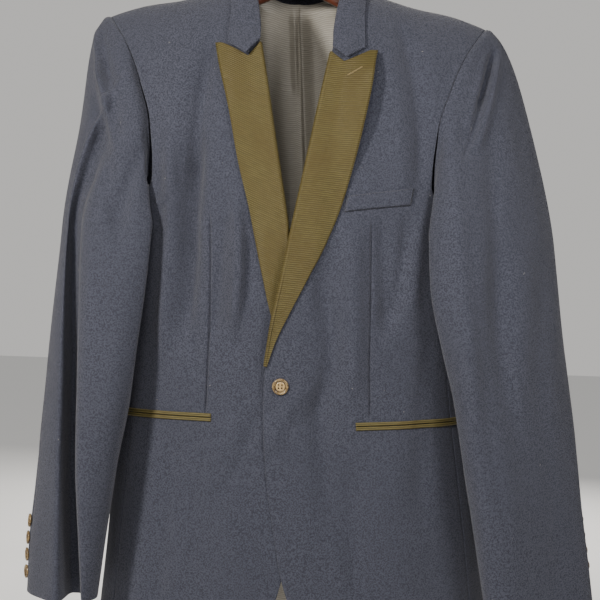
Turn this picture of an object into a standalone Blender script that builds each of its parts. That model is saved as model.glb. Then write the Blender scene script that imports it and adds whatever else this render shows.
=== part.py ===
"""A dinner jacket on a wooden hanger, in metres, with one solid for each piece that is cut and sewn.

The origin is the inside top of the hanger's hook. X runs to the wearer's left, Y to the back and Z up. The tables
give `down`, the distance below the neck point of the shoulder, which is HOOK_DROP below the origin.
"""

import math
from typing import NamedTuple

import bmesh
import bpy
import numpy as np
from mathutils import Vector
from mathutils.bvhtree import BVHTree

LEFT, RIGHT = 1.0, -1.0
SIDES = {"left": LEFT, "right": RIGHT}

HOOK_DROP = 0.090
CLOTH = 0.0020
SILK = 0.0012
SEAM = 0.0003
SLEEVE_SEAM = 0.0008
LAY = 0.0009

ARMHOLE = 0.272
HEM = 0.775
NECK_HALF = 0.070
FULLNESS = 2.4
FRONT_ARCH, BACK_ARCH = 2.1, 2.6
BACK_NECK_RISE = 0.32
FRONT_SEAM_TURN, BACK_SEAM_TURN = 62.0, 118.0
UNDERARM_DIP = 0.008


class Section(NamedTuple):
    """The body's outline at one height."""

    down: float
    half_width: float
    front_depth: float
    back_depth: float
    centre: float


BODY = (
    Section(0.000, 0.250, 0.088, 0.078, 0.000),
    Section(0.100, 0.249, 0.088, 0.078, 0.000),
    Section(0.160, 0.239, 0.088, 0.078, 0.000),
    Section(0.220, 0.222, 0.088, 0.078, 0.000),
    Section(0.272, 0.210, 0.088, 0.078, 0.000),
    Section(0.360, 0.203, 0.086, 0.070, 0.001),
    Section(0.460, 0.201, 0.083, 0.064, 0.005),
    Section(0.560, 0.210, 0.081, 0.068, 0.011),
    Section(0.660, 0.221, 0.082, 0.074, 0.015),
    Section(0.775, 0.232, 0.084, 0.078, 0.018),
)


class ShoulderPoint(NamedTuple):
    """The shoulder line, by distance from the middle of the back."""

    out: float
    down: float


SHOULDER = (
    ShoulderPoint(0.000, -0.012),
    ShoulderPoint(0.040, -0.006),
    ShoulderPoint(0.070, 0.001),
    ShoulderPoint(0.100, 0.011),
    ShoulderPoint(0.135, 0.021),
    ShoulderPoint(0.187, 0.031),
    ShoulderPoint(0.225, 0.044),
    ShoulderPoint(0.260, 0.060),
)


class ArmholePoint(NamedTuple):
    """How far out the armhole seams lie, in front and behind."""

    down: float
    front: float
    back: float


ARMHOLE_SEAM = (
    ArmholePoint(0.043, 0.2235, 0.2235),
    ArmholePoint(0.061, 0.2110, 0.2170),
    ArmholePoint(0.080, 0.1990, 0.2110),
    ArmholePoint(0.105, 0.1865, 0.2055),
    ArmholePoint(0.135, 0.1755, 0.2000),
    ArmholePoint(0.165, 0.1655, 0.1965),
    ArmholePoint(0.195, 0.1610, 0.1940),
    ArmholePoint(0.225, 0.1585, 0.1930),
    ArmholePoint(0.250, 0.1605, 0.1925),
    ArmholePoint(0.263, 0.1690, 0.1920),
)


class EdgePoint(NamedTuple):
    """A front's own edge: its neck seam, its roll line, then its opening edge. `out` is towards its own side."""

    down: float
    out: float
    sway: float


FRONT_EDGE = (
    EdgePoint(0.001, 0.0700, 0.000),
    EdgePoint(0.020, 0.0600, 0.000),
    EdgePoint(0.040, 0.0525, 0.000),
    EdgePoint(0.065, 0.0455, 0.000),
    EdgePoint(0.090, 0.0405, 0.000),
    EdgePoint(0.162, 0.0282, 0.000),
    EdgePoint(0.229, 0.0160, 0.000),
    EdgePoint(0.285, 0.0058, 0.000),
    EdgePoint(0.352, -0.0050, -0.001),
    EdgePoint(0.419, -0.0160, -0.002),
    EdgePoint(0.455, -0.0205, -0.002),
    EdgePoint(0.500, -0.0210, -0.002),
    EdgePoint(0.575, -0.0180, 0.001),
    EdgePoint(0.646, -0.0090, 0.004),
    EdgePoint(0.688, 0.0000, 0.004),
    EdgePoint(0.720, 0.0110, 0.005),
    EdgePoint(0.748, 0.0300, 0.005),
    EdgePoint(0.765, 0.0540, 0.005),
    EdgePoint(0.775, 0.0900, 0.006),
)


class LapelPoint(NamedTuple):
    """How far each lapel's outer edge lies towards its own side."""

    down: float
    left: float
    right: float


LAPEL_EDGE = (
    LapelPoint(0.085, 0.0925, 0.0925),
    LapelPoint(0.160, 0.0801, 0.0735),
    LapelPoint(0.227, 0.0668, 0.0590),
    LapelPoint(0.276, 0.0535, 0.0459),
    LapelPoint(0.312, 0.0398, 0.0376),
    LapelPoint(0.351, 0.0223, 0.0275),
    LapelPoint(0.391, 0.0037, 0.0165),
    LapelPoint(0.419, -0.0087, 0.0060),
    LapelPoint(0.450, -0.0185, -0.0130),
)
LAPEL_END = 0.449
LAPEL_LIFT = 0.0022
LAPEL_SHOWN = {LEFT: 0.440, RIGHT: 0.345}


class PeakPoint(NamedTuple):
    """The lapel's top edge from the roll line, over the gorge seam, to the peak."""

    across: float
    left: float
    right: float


LAPEL_TOP = (
    PeakPoint(0.00, 0.0935, 0.0845),
    PeakPoint(0.31, 0.1045, 0.1015),
    PeakPoint(0.60, 0.0975, 0.0925),
    PeakPoint(0.84, 0.0908, 0.0860),
    PeakPoint(1.00, 0.0911, 0.0853),
)


class Fold(NamedTuple):
    """A soft ridge, or a trough where the height is below zero, through three points on a side's cloth."""

    out_1: float
    down_1: float
    out_2: float
    down_2: float
    out_3: float
    down_3: float
    width: float
    height: float


FRONT_FOLDS = {
    LEFT: (
        Fold(0.120, 0.060, 0.140, 0.150, 0.146, 0.245, 0.014, -0.0050),
        Fold(0.100, 0.090, 0.117, 0.170, 0.126, 0.250, 0.014, 0.0030),
        Fold(0.130, 0.285, 0.128, 0.335, 0.115, 0.400, 0.014, -0.0040),
        Fold(0.046, 0.330, 0.033, 0.400, 0.029, 0.465, 0.012, -0.0036),
        Fold(0.042, 0.483, 0.044, 0.550, 0.062, 0.640, 0.016, -0.0035),
        Fold(0.070, 0.310, 0.070, 0.390, 0.077, 0.460, 0.018, 0.0025),
        Fold(0.124, 0.540, 0.134, 0.640, 0.145, 0.740, 0.024, 0.0040),
    ),
    RIGHT: (
        Fold(0.096, 0.090, 0.111, 0.250, 0.119, 0.400, 0.016, -0.0055),
        Fold(0.130, 0.100, 0.139, 0.190, 0.141, 0.270, 0.013, 0.0030),
        Fold(0.066, 0.310, 0.057, 0.380, 0.050, 0.440, 0.014, 0.0030),
        Fold(0.056, 0.520, 0.045, 0.600, 0.037, 0.720, 0.020, 0.0035),
        Fold(0.102, 0.520, 0.105, 0.600, 0.097, 0.740, 0.022, -0.0035),
    ),
}
BACK_FOLDS = {
    LEFT: (
        Fold(0.090, 0.120, 0.110, 0.240, 0.118, 0.380, 0.018, -0.0045),
        Fold(0.060, 0.500, 0.066, 0.600, 0.074, 0.740, 0.022, -0.0040),
        Fold(0.135, 0.480, 0.140, 0.600, 0.150, 0.740, 0.024, 0.0035),
    ),
    RIGHT: (
        Fold(0.098, 0.130, 0.112, 0.230, 0.112, 0.340, 0.018, -0.0040),
        Fold(0.052, 0.460, 0.060, 0.590, 0.060, 0.740, 0.022, -0.0040),
        Fold(0.120, 0.520, 0.128, 0.620, 0.142, 0.740, 0.024, 0.0035),
    ),
}


class CollarStation(NamedTuple):
    """The collar from its front end to the middle back: its fold, its seam on the neck and its outer edge."""

    fold_out: float
    fold_y: float
    fold_down: float
    seam_out: float
    seam_turn: float
    edge_out: float
    edge_turn: float
    bulge: float


COLLAR = (
    CollarStation(0.0410, -0.0705, 0.0870, 0.0415, 41.5, 0.0775, 42.2, 0.001),
    CollarStation(0.0435, -0.0640, 0.0640, 0.0455, 47.4, 0.0768, 49.2, 0.002),
    CollarStation(0.0465, -0.0540, 0.0390, 0.0525, 56.6, 0.0768, 58.2, 0.003),
    CollarStation(0.0515, -0.0400, 0.0130, 0.0600, 66.6, 0.0790, 67.2, 0.005),
    CollarStation(0.0580, -0.0220, -0.0080, 0.0660, 75.7, 0.0840, 78.0, 0.006),
    CollarStation(0.0620, 0.0000, -0.0180, 0.0690, 90.0, 0.0880, 90.0, 0.006),
    CollarStation(0.0570, 0.0220, -0.0190, 0.0640, 94.5, 0.0830, 103.0, 0.006),
    CollarStation(0.0420, 0.0370, -0.0175, 0.0490, 105.5, 0.0620, 114.0, 0.005),
    CollarStation(0.0210, 0.0460, -0.0155, 0.0250, 115.6, 0.0320, 121.5, 0.004),
    CollarStation(0.0000, 0.0490, -0.0150, 0.0000, 118.8, 0.0000, 124.4, 0.004),
)
GORGE_ACROSS = 0.42
GORGE_DROP = {LEFT: 0.0140, RIGHT: 0.0175}
RIGHT_GORGE_RISE = 0.0065
COLLAR_CLEAR = 0.0014
GORGE_SLOPE = 0.6
STAND_CLEAR = 0.0006


class SleeveRing(NamedTuple):
    """A sleeve's outline at one height: the ends of its width, its depth before and behind, its twist and its bend."""

    down: float
    inner_x: float
    inner_y: float
    outer_x: float
    outer_y: float
    ahead: float
    behind: float
    twist: float
    bend: float


SLEEVE = {
    LEFT: (
        SleeveRing(0.300, 0.1550, -0.088, 0.3107, 0.020, 0.0330, 0.0140, 0.000, 0.014),
        SleeveRing(0.360, 0.1605, -0.092, 0.3174, 0.000, 0.0330, 0.0180, 0.010, 0.008),
        SleeveRing(0.420, 0.1725, -0.096, 0.3227, -0.016, 0.0310, 0.0220, 0.020, 0.004),
        SleeveRing(0.480, 0.1870, -0.098, 0.3285, -0.028, 0.0285, 0.0245, 0.030, 0.000),
        SleeveRing(0.540, 0.1985, -0.099, 0.3353, -0.038, 0.0265, 0.0255, 0.040, 0.000),
        SleeveRing(0.600, 0.2095, -0.100, 0.3418, -0.045, 0.0250, 0.0250, 0.045, 0.000),
        SleeveRing(0.660, 0.2200, -0.100, 0.3513, -0.050, 0.0235, 0.0235, 0.050, 0.000),
        SleeveRing(0.703, 0.2280, -0.100, 0.3570, -0.054, 0.0225, 0.0225, 0.050, 0.000),
    ),
    RIGHT: (
        SleeveRing(0.300, 0.1550, -0.086, 0.2546, 0.026, 0.0380, 0.0080, 0.000, 0.019),
        SleeveRing(0.360, 0.1600, -0.092, 0.2576, 0.008, 0.0420, 0.0160, 0.010, 0.010),
        SleeveRing(0.420, 0.1660, -0.097, 0.2605, -0.008, 0.0420, 0.0205, 0.025, 0.005),
        SleeveRing(0.480, 0.1725, -0.101, 0.2646, -0.020, 0.0410, 0.0245, 0.040, 0.000),
        SleeveRing(0.540, 0.1820, -0.103, 0.2683, -0.029, 0.0390, 0.0275, 0.055, 0.000),
        SleeveRing(0.600, 0.1910, -0.104, 0.2708, -0.036, 0.0360, 0.0300, 0.070, 0.000),
        SleeveRing(0.660, 0.1985, -0.104, 0.2763, -0.042, 0.0330, 0.0300, 0.080, 0.000),
        SleeveRing(0.711, 0.2050, -0.104, 0.2763, -0.048, 0.0310, 0.0300, 0.085, 0.000),
    ),
}
SLEEVE_FLATNESS = 2.3
FORE_SEAM, HIND_SEAM = 0.43, 0.77


class SleevePitch(NamedTuple):
    """How a sleeve leaves the armhole, by distance round it: its turn from the body's surface and its reach."""

    around: float
    turn: float
    reach: float


class Settle(NamedTuple):
    """Where a place on the armhole's edge comes to lie round the sleeve, both as shares of the way round."""

    around: float
    share: float


SLEEVE_SETTLE = (
    Settle(0.00, 0.00),
    Settle(0.12, 0.15),
    Settle(0.22, 0.29),
    Settle(0.30, 0.40),
    Settle(0.36, 0.485),
    Settle(0.42, 0.555),
    Settle(0.50, 0.645),
    Settle(0.60, 0.750),
    Settle(0.72, 0.850),
    Settle(0.86, 0.930),
    Settle(1.00, 1.000),
)
SLEEVE_PITCH = (
    SleevePitch(0.00, 14.0, 0.49),
    SleevePitch(0.12, 14.0, 0.49),
    SleevePitch(0.22, 24.0, 0.42),
    SleevePitch(0.30, 40.0, 0.36),
    SleevePitch(0.37, 68.0, 0.34),
    SleevePitch(0.44, 86.0, 0.70),
    SleevePitch(0.50, 92.0, 1.05),
    SleevePitch(0.60, 86.0, 1.05),
    SleevePitch(0.75, 32.0, 0.38),
    SleevePitch(0.88, 16.0, 0.47),
    SleevePitch(1.00, 14.0, 0.49),
)


class Channel(NamedTuple):
    """The deep upright fold down the front of the right sleeve."""

    down: float
    out: float
    half_width: float
    depth: float


RIGHT_CHANNEL = (
    Channel(0.170, 0.2290, 0.010, 0.000),
    Channel(0.240, 0.2385, 0.009, 0.006),
    Channel(0.300, 0.2420, 0.008, 0.017),
    Channel(0.420, 0.2385, 0.0075, 0.026),
    Channel(0.600, 0.2305, 0.0080, 0.031),
    Channel(0.711, 0.2258, 0.0085, 0.032),
)
SLEEVE_FOLDS = {
    LEFT: (
        Fold(0.222, 0.080, 0.209, 0.135, 0.186, 0.200, 0.009, -0.0045),
        Fold(0.180, 0.200, 0.188, 0.340, 0.228, 0.640, 0.020, 0.0040),
        Fold(0.232, 0.190, 0.233, 0.320, 0.256, 0.540, 0.018, -0.0050),
    ),
    RIGHT: (
        Fold(0.232, 0.076, 0.223, 0.125, 0.206, 0.175, 0.009, 0.0040),
        Fold(0.217, 0.175, 0.206, 0.243, 0.186, 0.310, 0.012, -0.0060),
    ),
}

POCKET_IN = 0.081
POCKET_REACH = 0.196
JET_LIFT = 0.0010
POCKET_LENGTH = 0.145
POCKET_DOWN = {LEFT: 0.5133, RIGHT: 0.5087}
POCKET_RISE = {LEFT: 0.0072, RIGHT: 0.0}
JET_TALL = 0.0045
JET_GAP = 0.0006
WELT_CORNERS = ((0.0620, 0.2570), (0.1363, 0.2444), (0.1335, 0.2640), (0.0590, 0.2750))
WELT_THICK = 0.0015

FRONT_BUTTON_AT = (-0.0046, 0.4709)
FRONT_BUTTON_RADIUS, FRONT_BUTTON_THICK = 0.0092, 0.0034
CUFF_BUTTON_RADIUS, CUFF_BUTTON_THICK = 0.0075, 0.0028
CUFF_BUTTON_FIRST = {LEFT: 0.6145, RIGHT: 0.6335}
CUFF_BUTTON_STEP = {LEFT: 0.0172, RIGHT: 0.0188}
CUFF_BUTTON_SHARE = {LEFT: 0.985, RIGHT: 0.035}
BUTTON_STAND = 0.0009
ABOVE = 0.004

LINING_THICK = 0.0010
LINING_CLEAR = 0.0022
LINING_TUCK = 0.14
LINING_ROWS = np.array([0.0, 0.10, 0.20, 0.32, 0.45, 0.60, 0.75, 0.88])
INWARD = 0.04
LINING_HALF = 0.150
LINING_END = 0.755
PLEAT_MIDDLE, PLEAT_HALF, PLEAT_HEIGHT = 0.006, 0.007, 0.007


class HangerStation(NamedTuple):
    """The wooden hanger, by distance from its middle."""

    out: float
    top: float
    tall: float
    half_thick: float


HANGER = (
    HangerStation(0.000, -0.0180, 0.0260, 0.0080),
    HangerStation(0.018, -0.0165, 0.0262, 0.0080),
    HangerStation(0.040, -0.0075, 0.0265, 0.0085),
    HangerStation(0.060, 0.0010, 0.0265, 0.0095),
    HangerStation(0.080, 0.0075, 0.0265, 0.0110),
    HangerStation(0.110, 0.0175, 0.0270, 0.0130),
    HangerStation(0.145, 0.0270, 0.0280, 0.0160),
    HangerStation(0.180, 0.0330, 0.0280, 0.0180),
    HangerStation(0.196, 0.0380, 0.0220, 0.0160),
)
HOOK_INSIDE = 0.0175
HOOK_WIRE = 0.0020
HOOK_TIP, HOOK_TURN = 196.0, -42.0

COLOURS = {
    "wool": ((0.060, 0.066, 0.098), 0.85, 0.0),
    "silk": ((0.115, 0.095, 0.040), 0.55, 0.0),
    "lining": ((0.120, 0.115, 0.115), 0.40, 0.0),
    "horn": ((0.130, 0.085, 0.050), 0.30, 0.0),
    "wood": ((0.110, 0.030, 0.018), 0.30, 0.0),
    "steel": ((0.700, 0.700, 0.710), 0.22, 1.0),
}


def column(table, name, at):
    """The named column of a table, eased between its rows, at each place along its first column."""
    key = np.array([row[0] for row in table])
    value = np.array([getattr(row, name) for row in table])
    slope = np.gradient(value, key)
    at = np.clip(at, key[0], key[-1])
    low = np.clip(np.searchsorted(key, at) - 1, 0, len(key) - 2)
    span = key[low + 1] - key[low]
    t = (at - key[low]) / span
    t2, t3 = t * t, t * t * t
    return (
        (2 * t3 - 3 * t2 + 1) * value[low]
        + (t3 - 2 * t2 + t) * span * slope[low]
        + (3 * t2 - 2 * t3) * value[low + 1]
        + (t3 - t2) * span * slope[low + 1]
    )


def mix(a, b, t):
    return a + (b - a) * t


def step(t):
    t = np.clip(t, 0.0, 1.0)
    return t * t * (3 - 2 * t)


def unit(vectors):
    return vectors / np.maximum(np.linalg.norm(vectors, axis=-1, keepdims=True), 1e-9)


def world(x, y, down):
    x, y, down = np.broadcast_arrays(x, y, down)
    return np.stack([x, y, -(HOOK_DROP + down)], axis=-1).astype(float)


def fold_height(folds, out, down):
    """What the folds add to the surface at each place."""
    total = np.zeros(np.broadcast(out, down).shape)
    for fold in folds:
        t = np.clip((down - fold.down_1) / (fold.down_3 - fold.down_1), -0.2, 1.2)
        middle = (fold.down_2 - fold.down_1) / (fold.down_3 - fold.down_1)
        bend = (fold.out_2 - mix(fold.out_1, fold.out_3, middle)) / (middle * (1 - middle))
        centre = mix(fold.out_1, fold.out_3, t) + bend * t * (1 - t)
        taper = step((t + 0.2) / 0.35) * step((1.2 - t) / 0.35)
        total = total + fold.height * taper * np.exp(-(((out - centre) / fold.width) ** 2))
    return total


def shoulder(out):
    return column(SHOULDER, "down", np.abs(out))


def fullness(x, down):
    """How much of its full depth the body has at x."""
    share = np.abs(x - column(BODY, "centre", down)) / column(BODY, "half_width", down)
    return np.maximum(1 - np.minimum(share, 1) ** FULLNESS, 1e-6) ** (1 / FULLNESS)


def over_shoulder(x, turn):
    """y and down on the body where turn runs from 0, in front, over the shoulder at 90, to 180, behind."""
    angle = np.radians(turn)
    behind = turn > 90
    power = 2 / np.where(behind, BACK_ARCH, FRONT_ARCH)
    rise = np.abs(np.sin(angle)) ** power
    out = np.abs(np.cos(angle)) ** power
    down = ARMHOLE - (ARMHOLE - shoulder(x)) * rise
    depth = np.where(behind, column(BODY, "back_depth", down), -column(BODY, "front_depth", down))
    return depth * fullness(x, down) * out, down


def ring_x(down, turn):
    """x on the body below the armholes, where turn runs from 0 at the front, by 90 at the left, to 180."""
    return column(BODY, "centre", down) + column(BODY, "half_width", down) * np.sin(np.radians(turn)) ** (2 / FULLNESS)


def seam_x(side, down, turn):
    return column(BODY, "centre", down) + side * (ring_x(down, turn) - column(BODY, "centre", down))


def lap(side, x, down):
    """How far a front is pushed out where the left front lies over the right lapel and front."""
    if side == RIGHT:
        return -0.0015 * step((x + 0.060) / 0.025) * step((down - 0.20) / 0.08)
    over = 0.0015 + 0.0046 * step((down - 0.27) / 0.05) * step((0.510 - down) / 0.05)
    return over * step((0.060 - x) / 0.035) * step((down - 0.20) / 0.08)


def front_y(side, x, down):
    """The outside of a front, or of a side panel's front half."""
    top = shoulder(x)
    share = np.clip((ARMHOLE - down) / (ARMHOLE - top), 0, 1)
    arch = np.maximum(1 - share**FRONT_ARCH, 0) ** (1 / FRONT_ARCH)
    depth = column(BODY, "front_depth", down) * fullness(x, down) * arch
    return -depth - (fold_height(FRONT_FOLDS[side], side * x, down) + lap(side, x, down)) * arch


def back_y(side, x, down):
    top = shoulder(x)
    share = np.clip((ARMHOLE - down) / (ARMHOLE - top), 0, 1)
    arch = np.maximum(1 - share**BACK_ARCH, 0) ** (1 / BACK_ARCH)
    depth = column(BODY, "back_depth", down) * fullness(x, down) * arch
    return depth + fold_height(BACK_FOLDS[side], side * x, down) * arch


def normals(points_of, u, v, sign):
    """Unit normals of a surface given as a function, by small steps along it."""
    h = 1e-3
    along_u = points_of(u + h, v) - points_of(u - h, v)
    along_v = points_of(u, v + h) - points_of(u, v - h)
    return sign * unit(np.cross(along_u, along_v))


def on_front(side, x, down, lift):
    """Points over a front's outside, lifted along its normal."""
    x, down = np.broadcast_arrays(np.asarray(x, float), np.asarray(down, float))

    def surface(a, b):
        return world(a, front_y(side, a, b), b)

    normal = normals(surface, x, down, 1.0)
    normal = normal * np.where(normal[..., 1:2] > 0, -1.0, 1.0)
    return surface(x, down) + normal * np.asarray(lift)[..., None], normal


def front_edge(side, down):
    return side * column(FRONT_EDGE, "out", down) + column(FRONT_EDGE, "sway", down)


def armhole_x(side, down, name, turn):
    """A panel's outer seam: the armhole, or below it the side seam."""
    foot = ARMHOLE_SEAM[-1].down
    seam = seam_x(side, np.maximum(down, ARMHOLE), turn)
    share = np.clip((down - foot) / (ARMHOLE - foot), 0, 1)
    return mix(side * column(ARMHOLE_SEAM, name, down), seam, share)


def level(x, along, power, start=0.0):
    """Distance down at x, where along is 0 at the shoulder, 1 at the armhole's foot and 2 at the hem."""
    share = start + (1 - start) * np.clip(along, 0, 1)
    rise = np.sin(np.radians(90 * (1 - share))) ** (2 / power)
    above = ARMHOLE - (ARMHOLE - shoulder(x)) * rise
    return np.where(along < 1, above, ARMHOLE + (HEM - ARMHOLE) * (along - 1))


def front_point(side, across, along):
    """A front's outside: across is 0 at its edge and 1 at its outer seam."""
    across, along = np.broadcast_arrays(across, along)
    inner = np.full(across.shape, side * NECK_HALF)
    outer = np.full(across.shape, side * 0.2)
    for _ in range(6):
        inner = front_edge(side, level(inner, along, FRONT_ARCH))
        outer = armhole_x(side, level(outer, along, FRONT_ARCH), "front", FRONT_SEAM_TURN) - side * SEAM / 2
    x = mix(inner, outer, across)
    down = level(x, along, FRONT_ARCH)
    return world(x, front_y(side, x, down) - SEAM / 2, down)


def neck_start(x):
    return BACK_NECK_RISE * np.maximum(1 - (np.abs(x) / NECK_HALF) ** 2.2, 0)


def back_point(side, across, along):
    """A back's outside: across is 0 at the middle seam and 1 at its outer seam."""
    across, along = np.broadcast_arrays(across, along)
    outer = np.full(across.shape, side * 0.2)
    inner = np.zeros(across.shape)
    for _ in range(6):
        down = level(outer, along, BACK_ARCH)
        outer = armhole_x(side, down, "back", BACK_SEAM_TURN) - side * SEAM / 2
        inner = column(BODY, "centre", level(inner, along, BACK_ARCH, neck_start(inner))) + side * SEAM / 2
    x = mix(inner, outer, across)
    down = level(x, along, BACK_ARCH, neck_start(x))
    return world(x, back_y(side, x, down) + SEAM / 2, down)


def side_point(side, across, along):
    """A side panel's outside: across is 0 at the front's seam and 1 at the back's, along 0 at the underarm."""
    across, along = np.broadcast_arrays(across, along)
    gap = 0.15
    turn = mix(FRONT_SEAM_TURN + gap, BACK_SEAM_TURN - gap, across)
    top = ARMHOLE + UNDERARM_DIP * np.sin(np.pi * np.clip(across, 0, 1))
    down = mix(top, HEM, along)
    cosine = np.cos(np.radians(turn))
    depth = np.where(turn > 90, column(BODY, "back_depth", down), column(BODY, "front_depth", down))
    y = -np.sign(cosine) * depth * np.abs(cosine) ** (2 / FULLNESS)
    return world(seam_x(side, down, turn), y, down)


def material(name):
    found = bpy.data.materials.get(name)
    if found:
        return found
    colour, roughness, metallic = COLOURS[name]
    made = bpy.data.materials.new(name)
    made.use_nodes = True
    shader = made.node_tree.nodes["Principled BSDF"]
    shader.inputs["Base Color"].default_value = (*colour, 1.0)
    shader.inputs["Roughness"].default_value = roughness
    shader.inputs["Metallic"].default_value = metallic
    made.diffuse_color = (*colour, 1.0)
    return made


def solid(name, vertices, faces, finish):
    """One closed mesh object, with its faces turned outwards."""
    mesh = bpy.data.meshes.new(name)
    mesh.from_pydata([tuple(map(float, point)) for point in vertices], [], faces)
    shape = bmesh.new()
    shape.from_mesh(mesh)
    bmesh.ops.recalc_face_normals(shape, faces=shape.faces)
    shape.to_mesh(mesh)
    shape.free()
    mesh.shade_smooth()
    mesh.set_sharp_from_angle(angle=math.radians(50))
    mesh.materials.append(material(finish))
    made = bpy.data.objects.new(name, mesh)
    bpy.context.scene.collection.objects.link(made)
    return made


def wall(name, outside, inside, finish):
    """A cloth wall between two grids of points, closed round its rim."""
    rows, columns = outside.shape[:2]
    vertices = np.concatenate([outside.reshape(-1, 3), inside.reshape(-1, 3)])
    back = rows * columns
    faces = []
    for i in range(rows - 1):
        for j in range(columns - 1):
            a = i * columns + j
            quad = (a, a + 1, a + columns + 1, a + columns)
            faces.append(quad)
            faces.append(tuple(back + k for k in reversed(quad)))
    rim = [j for j in range(columns)]
    rim += [i * columns + columns - 1 for i in range(1, rows)]
    rim += [(rows - 1) * columns + j for j in range(columns - 2, -1, -1)]
    rim += [i * columns for i in range(rows - 2, 0, -1)]
    for here, after in zip(rim, rim[1:] + rim[:1]):
        faces.append((after, here, back + here, back + after))
    return solid(name, vertices, faces, finish)


def panel(name, points_of, across, along, facing, finish="wool", thick=CLOTH):
    """A wall over a surface function; facing is a direction that its outside looks towards, on the whole."""
    u, v = np.meshgrid(np.asarray(across, float), np.asarray(along, float))
    outside = points_of(u, v)
    normal = normals(points_of, u, np.clip(v, 1.1e-3, None), 1.0)
    if np.sum(normal * np.asarray(facing)) < 0:
        normal = -normal
    return wall(name, outside, outside - normal * thick, finish)


def turned(name, profile, centre, axis, segments, finish):
    """A round piece turned from (radius, height) pairs about an axis."""
    axis = unit(np.asarray(axis, float))
    first = unit(np.cross(axis, (0.0, 0.0, 1.0) if abs(axis[2]) < 0.9 else (1.0, 0.0, 0.0)))
    second = np.cross(axis, first)
    vertices = [centre + axis * profile[0][1]]
    for radius, height in profile[1:-1]:
        for k in range(segments):
            angle = 2 * math.pi * k / segments
            vertices.append(centre + axis * height + radius * (first * math.cos(angle) + second * math.sin(angle)))
    vertices.append(centre + axis * profile[-1][1])
    last = len(vertices) - 1
    faces = []
    for k in range(segments):
        after = (k + 1) % segments
        faces.append((0, 1 + after, 1 + k))
        for ring in range(len(profile) - 3):
            a, b = 1 + ring * segments, 1 + (ring + 1) * segments
            faces.append((a + k, a + after, b + after, b + k))
        a = 1 + (len(profile) - 3) * segments
        faces.append((a + k, a + after, last))
    return solid(name, vertices, faces, finish)


def tube(name, rings, finish):
    """A closed solid through rings of points, with flat ends."""
    count = len(rings[0])
    vertices = np.concatenate(rings)
    faces = [tuple(range(count)), tuple(range(len(vertices) - 1, len(vertices) - 1 - count, -1))]
    for i in range(len(rings) - 1):
        for k in range(count):
            after = (k + 1) % count
            faces.append((i * count + k, i * count + after, (i + 1) * count + after, (i + 1) * count + k))
    return solid(name, vertices, faces, finish)


ARCH_ROWS = np.array([0.0, 0.09, 0.18, 0.28, 0.38, 0.48, 0.58, 0.68, 0.78, 0.87, 0.94, 1.0])
BODY_ROWS = np.linspace(0, 1, 10)[1:]
FRONT_ENDS = np.array([1.85, 1.90, 1.94, 1.97, 1.988, 2.0])
BACK_COLUMNS = np.array([0.0, 0.06, 0.13, 0.22, 0.34, 0.50, 0.66, 0.83, 1.0])
SIDE_COLUMNS = 6


def make_body():
    front_rows = np.concatenate([ARCH_ROWS, 1 + BODY_ROWS[:7], FRONT_ENDS])
    back_rows = np.concatenate([ARCH_ROWS, 1 + BODY_ROWS])
    for word, side in SIDES.items():
        panel(
            f"front_{word}",
            lambda u, v, side=side: front_point(side, u, v),
            np.linspace(0, 1, 15),
            front_rows,
            (0, -1, 0),
        )
        panel(
            f"side_{word}",
            lambda u, v, side=side: side_point(side, u, v),
            np.linspace(0, 1, SIDE_COLUMNS),
            np.concatenate([[0.0], BODY_ROWS]),
            (side, 0, 0),
        )
        panel(
            f"back_{word}",
            lambda u, v, side=side: back_point(side, u, v),
            BACK_COLUMNS,
            back_rows,
            (0, 1, 0),
        )


def lapel_place(side, across, along):
    """x and down on a lapel: across is 0 at the roll line, along 0 at its top edge."""
    name = "left" if side == LEFT else "right"
    top = column(LAPEL_TOP, name, across)
    down = mix(top, LAPEL_END, along)
    roll = front_edge(side, down)
    edge = side * column(LAPEL_EDGE, name, down) + column(FRONT_EDGE, "sway", down)
    return mix(roll, edge, across), down


def make_lapels():
    across, along = np.meshgrid([0, 0.155, 0.31, 0.58, 0.84, 1.0], np.linspace(0, 1, 13) ** 1.15)
    for word, side in SIDES.items():
        x, down = lapel_place(side, across, along)
        shown = step((LAPEL_SHOWN[side] - down) / 0.05)
        lift = LAY + LAPEL_LIFT * (1 - across) ** 2 * step(along / 0.2) * shown
        inside, _ = on_front(side, x, down, lift)
        outside, _ = on_front(side, x, down, lift + CLOTH)
        wall(f"lapel_{word}", outside, inside, "silk")


def collar_column(name, at):
    value = np.array([getattr(row, name) for row in COLLAR])
    return np.interp(np.abs(at), np.arange(len(COLLAR)), value)


def collar_rows():
    """Stations round the collar, from the left front end, which is positive, to the right."""
    last = len(COLLAR) - 1
    half = [0, 0.5, 1, 2, 3, 4, 5, 6, 7, 8]
    return np.array([last - place for place in half] + [0] + [-(last - place) for place in reversed(half)])


def collar_lines():
    """The collar's fold, neck seam and outer edge at each of its stations."""
    rows = collar_rows()
    side = np.where(rows >= 0, LEFT, RIGHT)
    station = len(COLLAR) - 1 - np.abs(rows)

    def of(name):
        return collar_column(name, station)

    fold = world(side * of("fold_out"), of("fold_y"), of("fold_down"))
    lines = [fold]
    for part in ("seam", "edge"):
        x = side * of(f"{part}_out")
        y, down = over_shoulder(x, of(f"{part}_turn"))
        lines.append(world(x, y, down))
    return station, side, lines


def body_normal(points):
    """The direction away from the hanger, square to the shoulder's arch, near the neck."""
    centre_down = 0.20
    out = np.stack([points[:, 0] * 0.15, points[:, 1] * 2.2, points[:, 2] + HOOK_DROP + centre_down], axis=-1)
    return unit(out)


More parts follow.
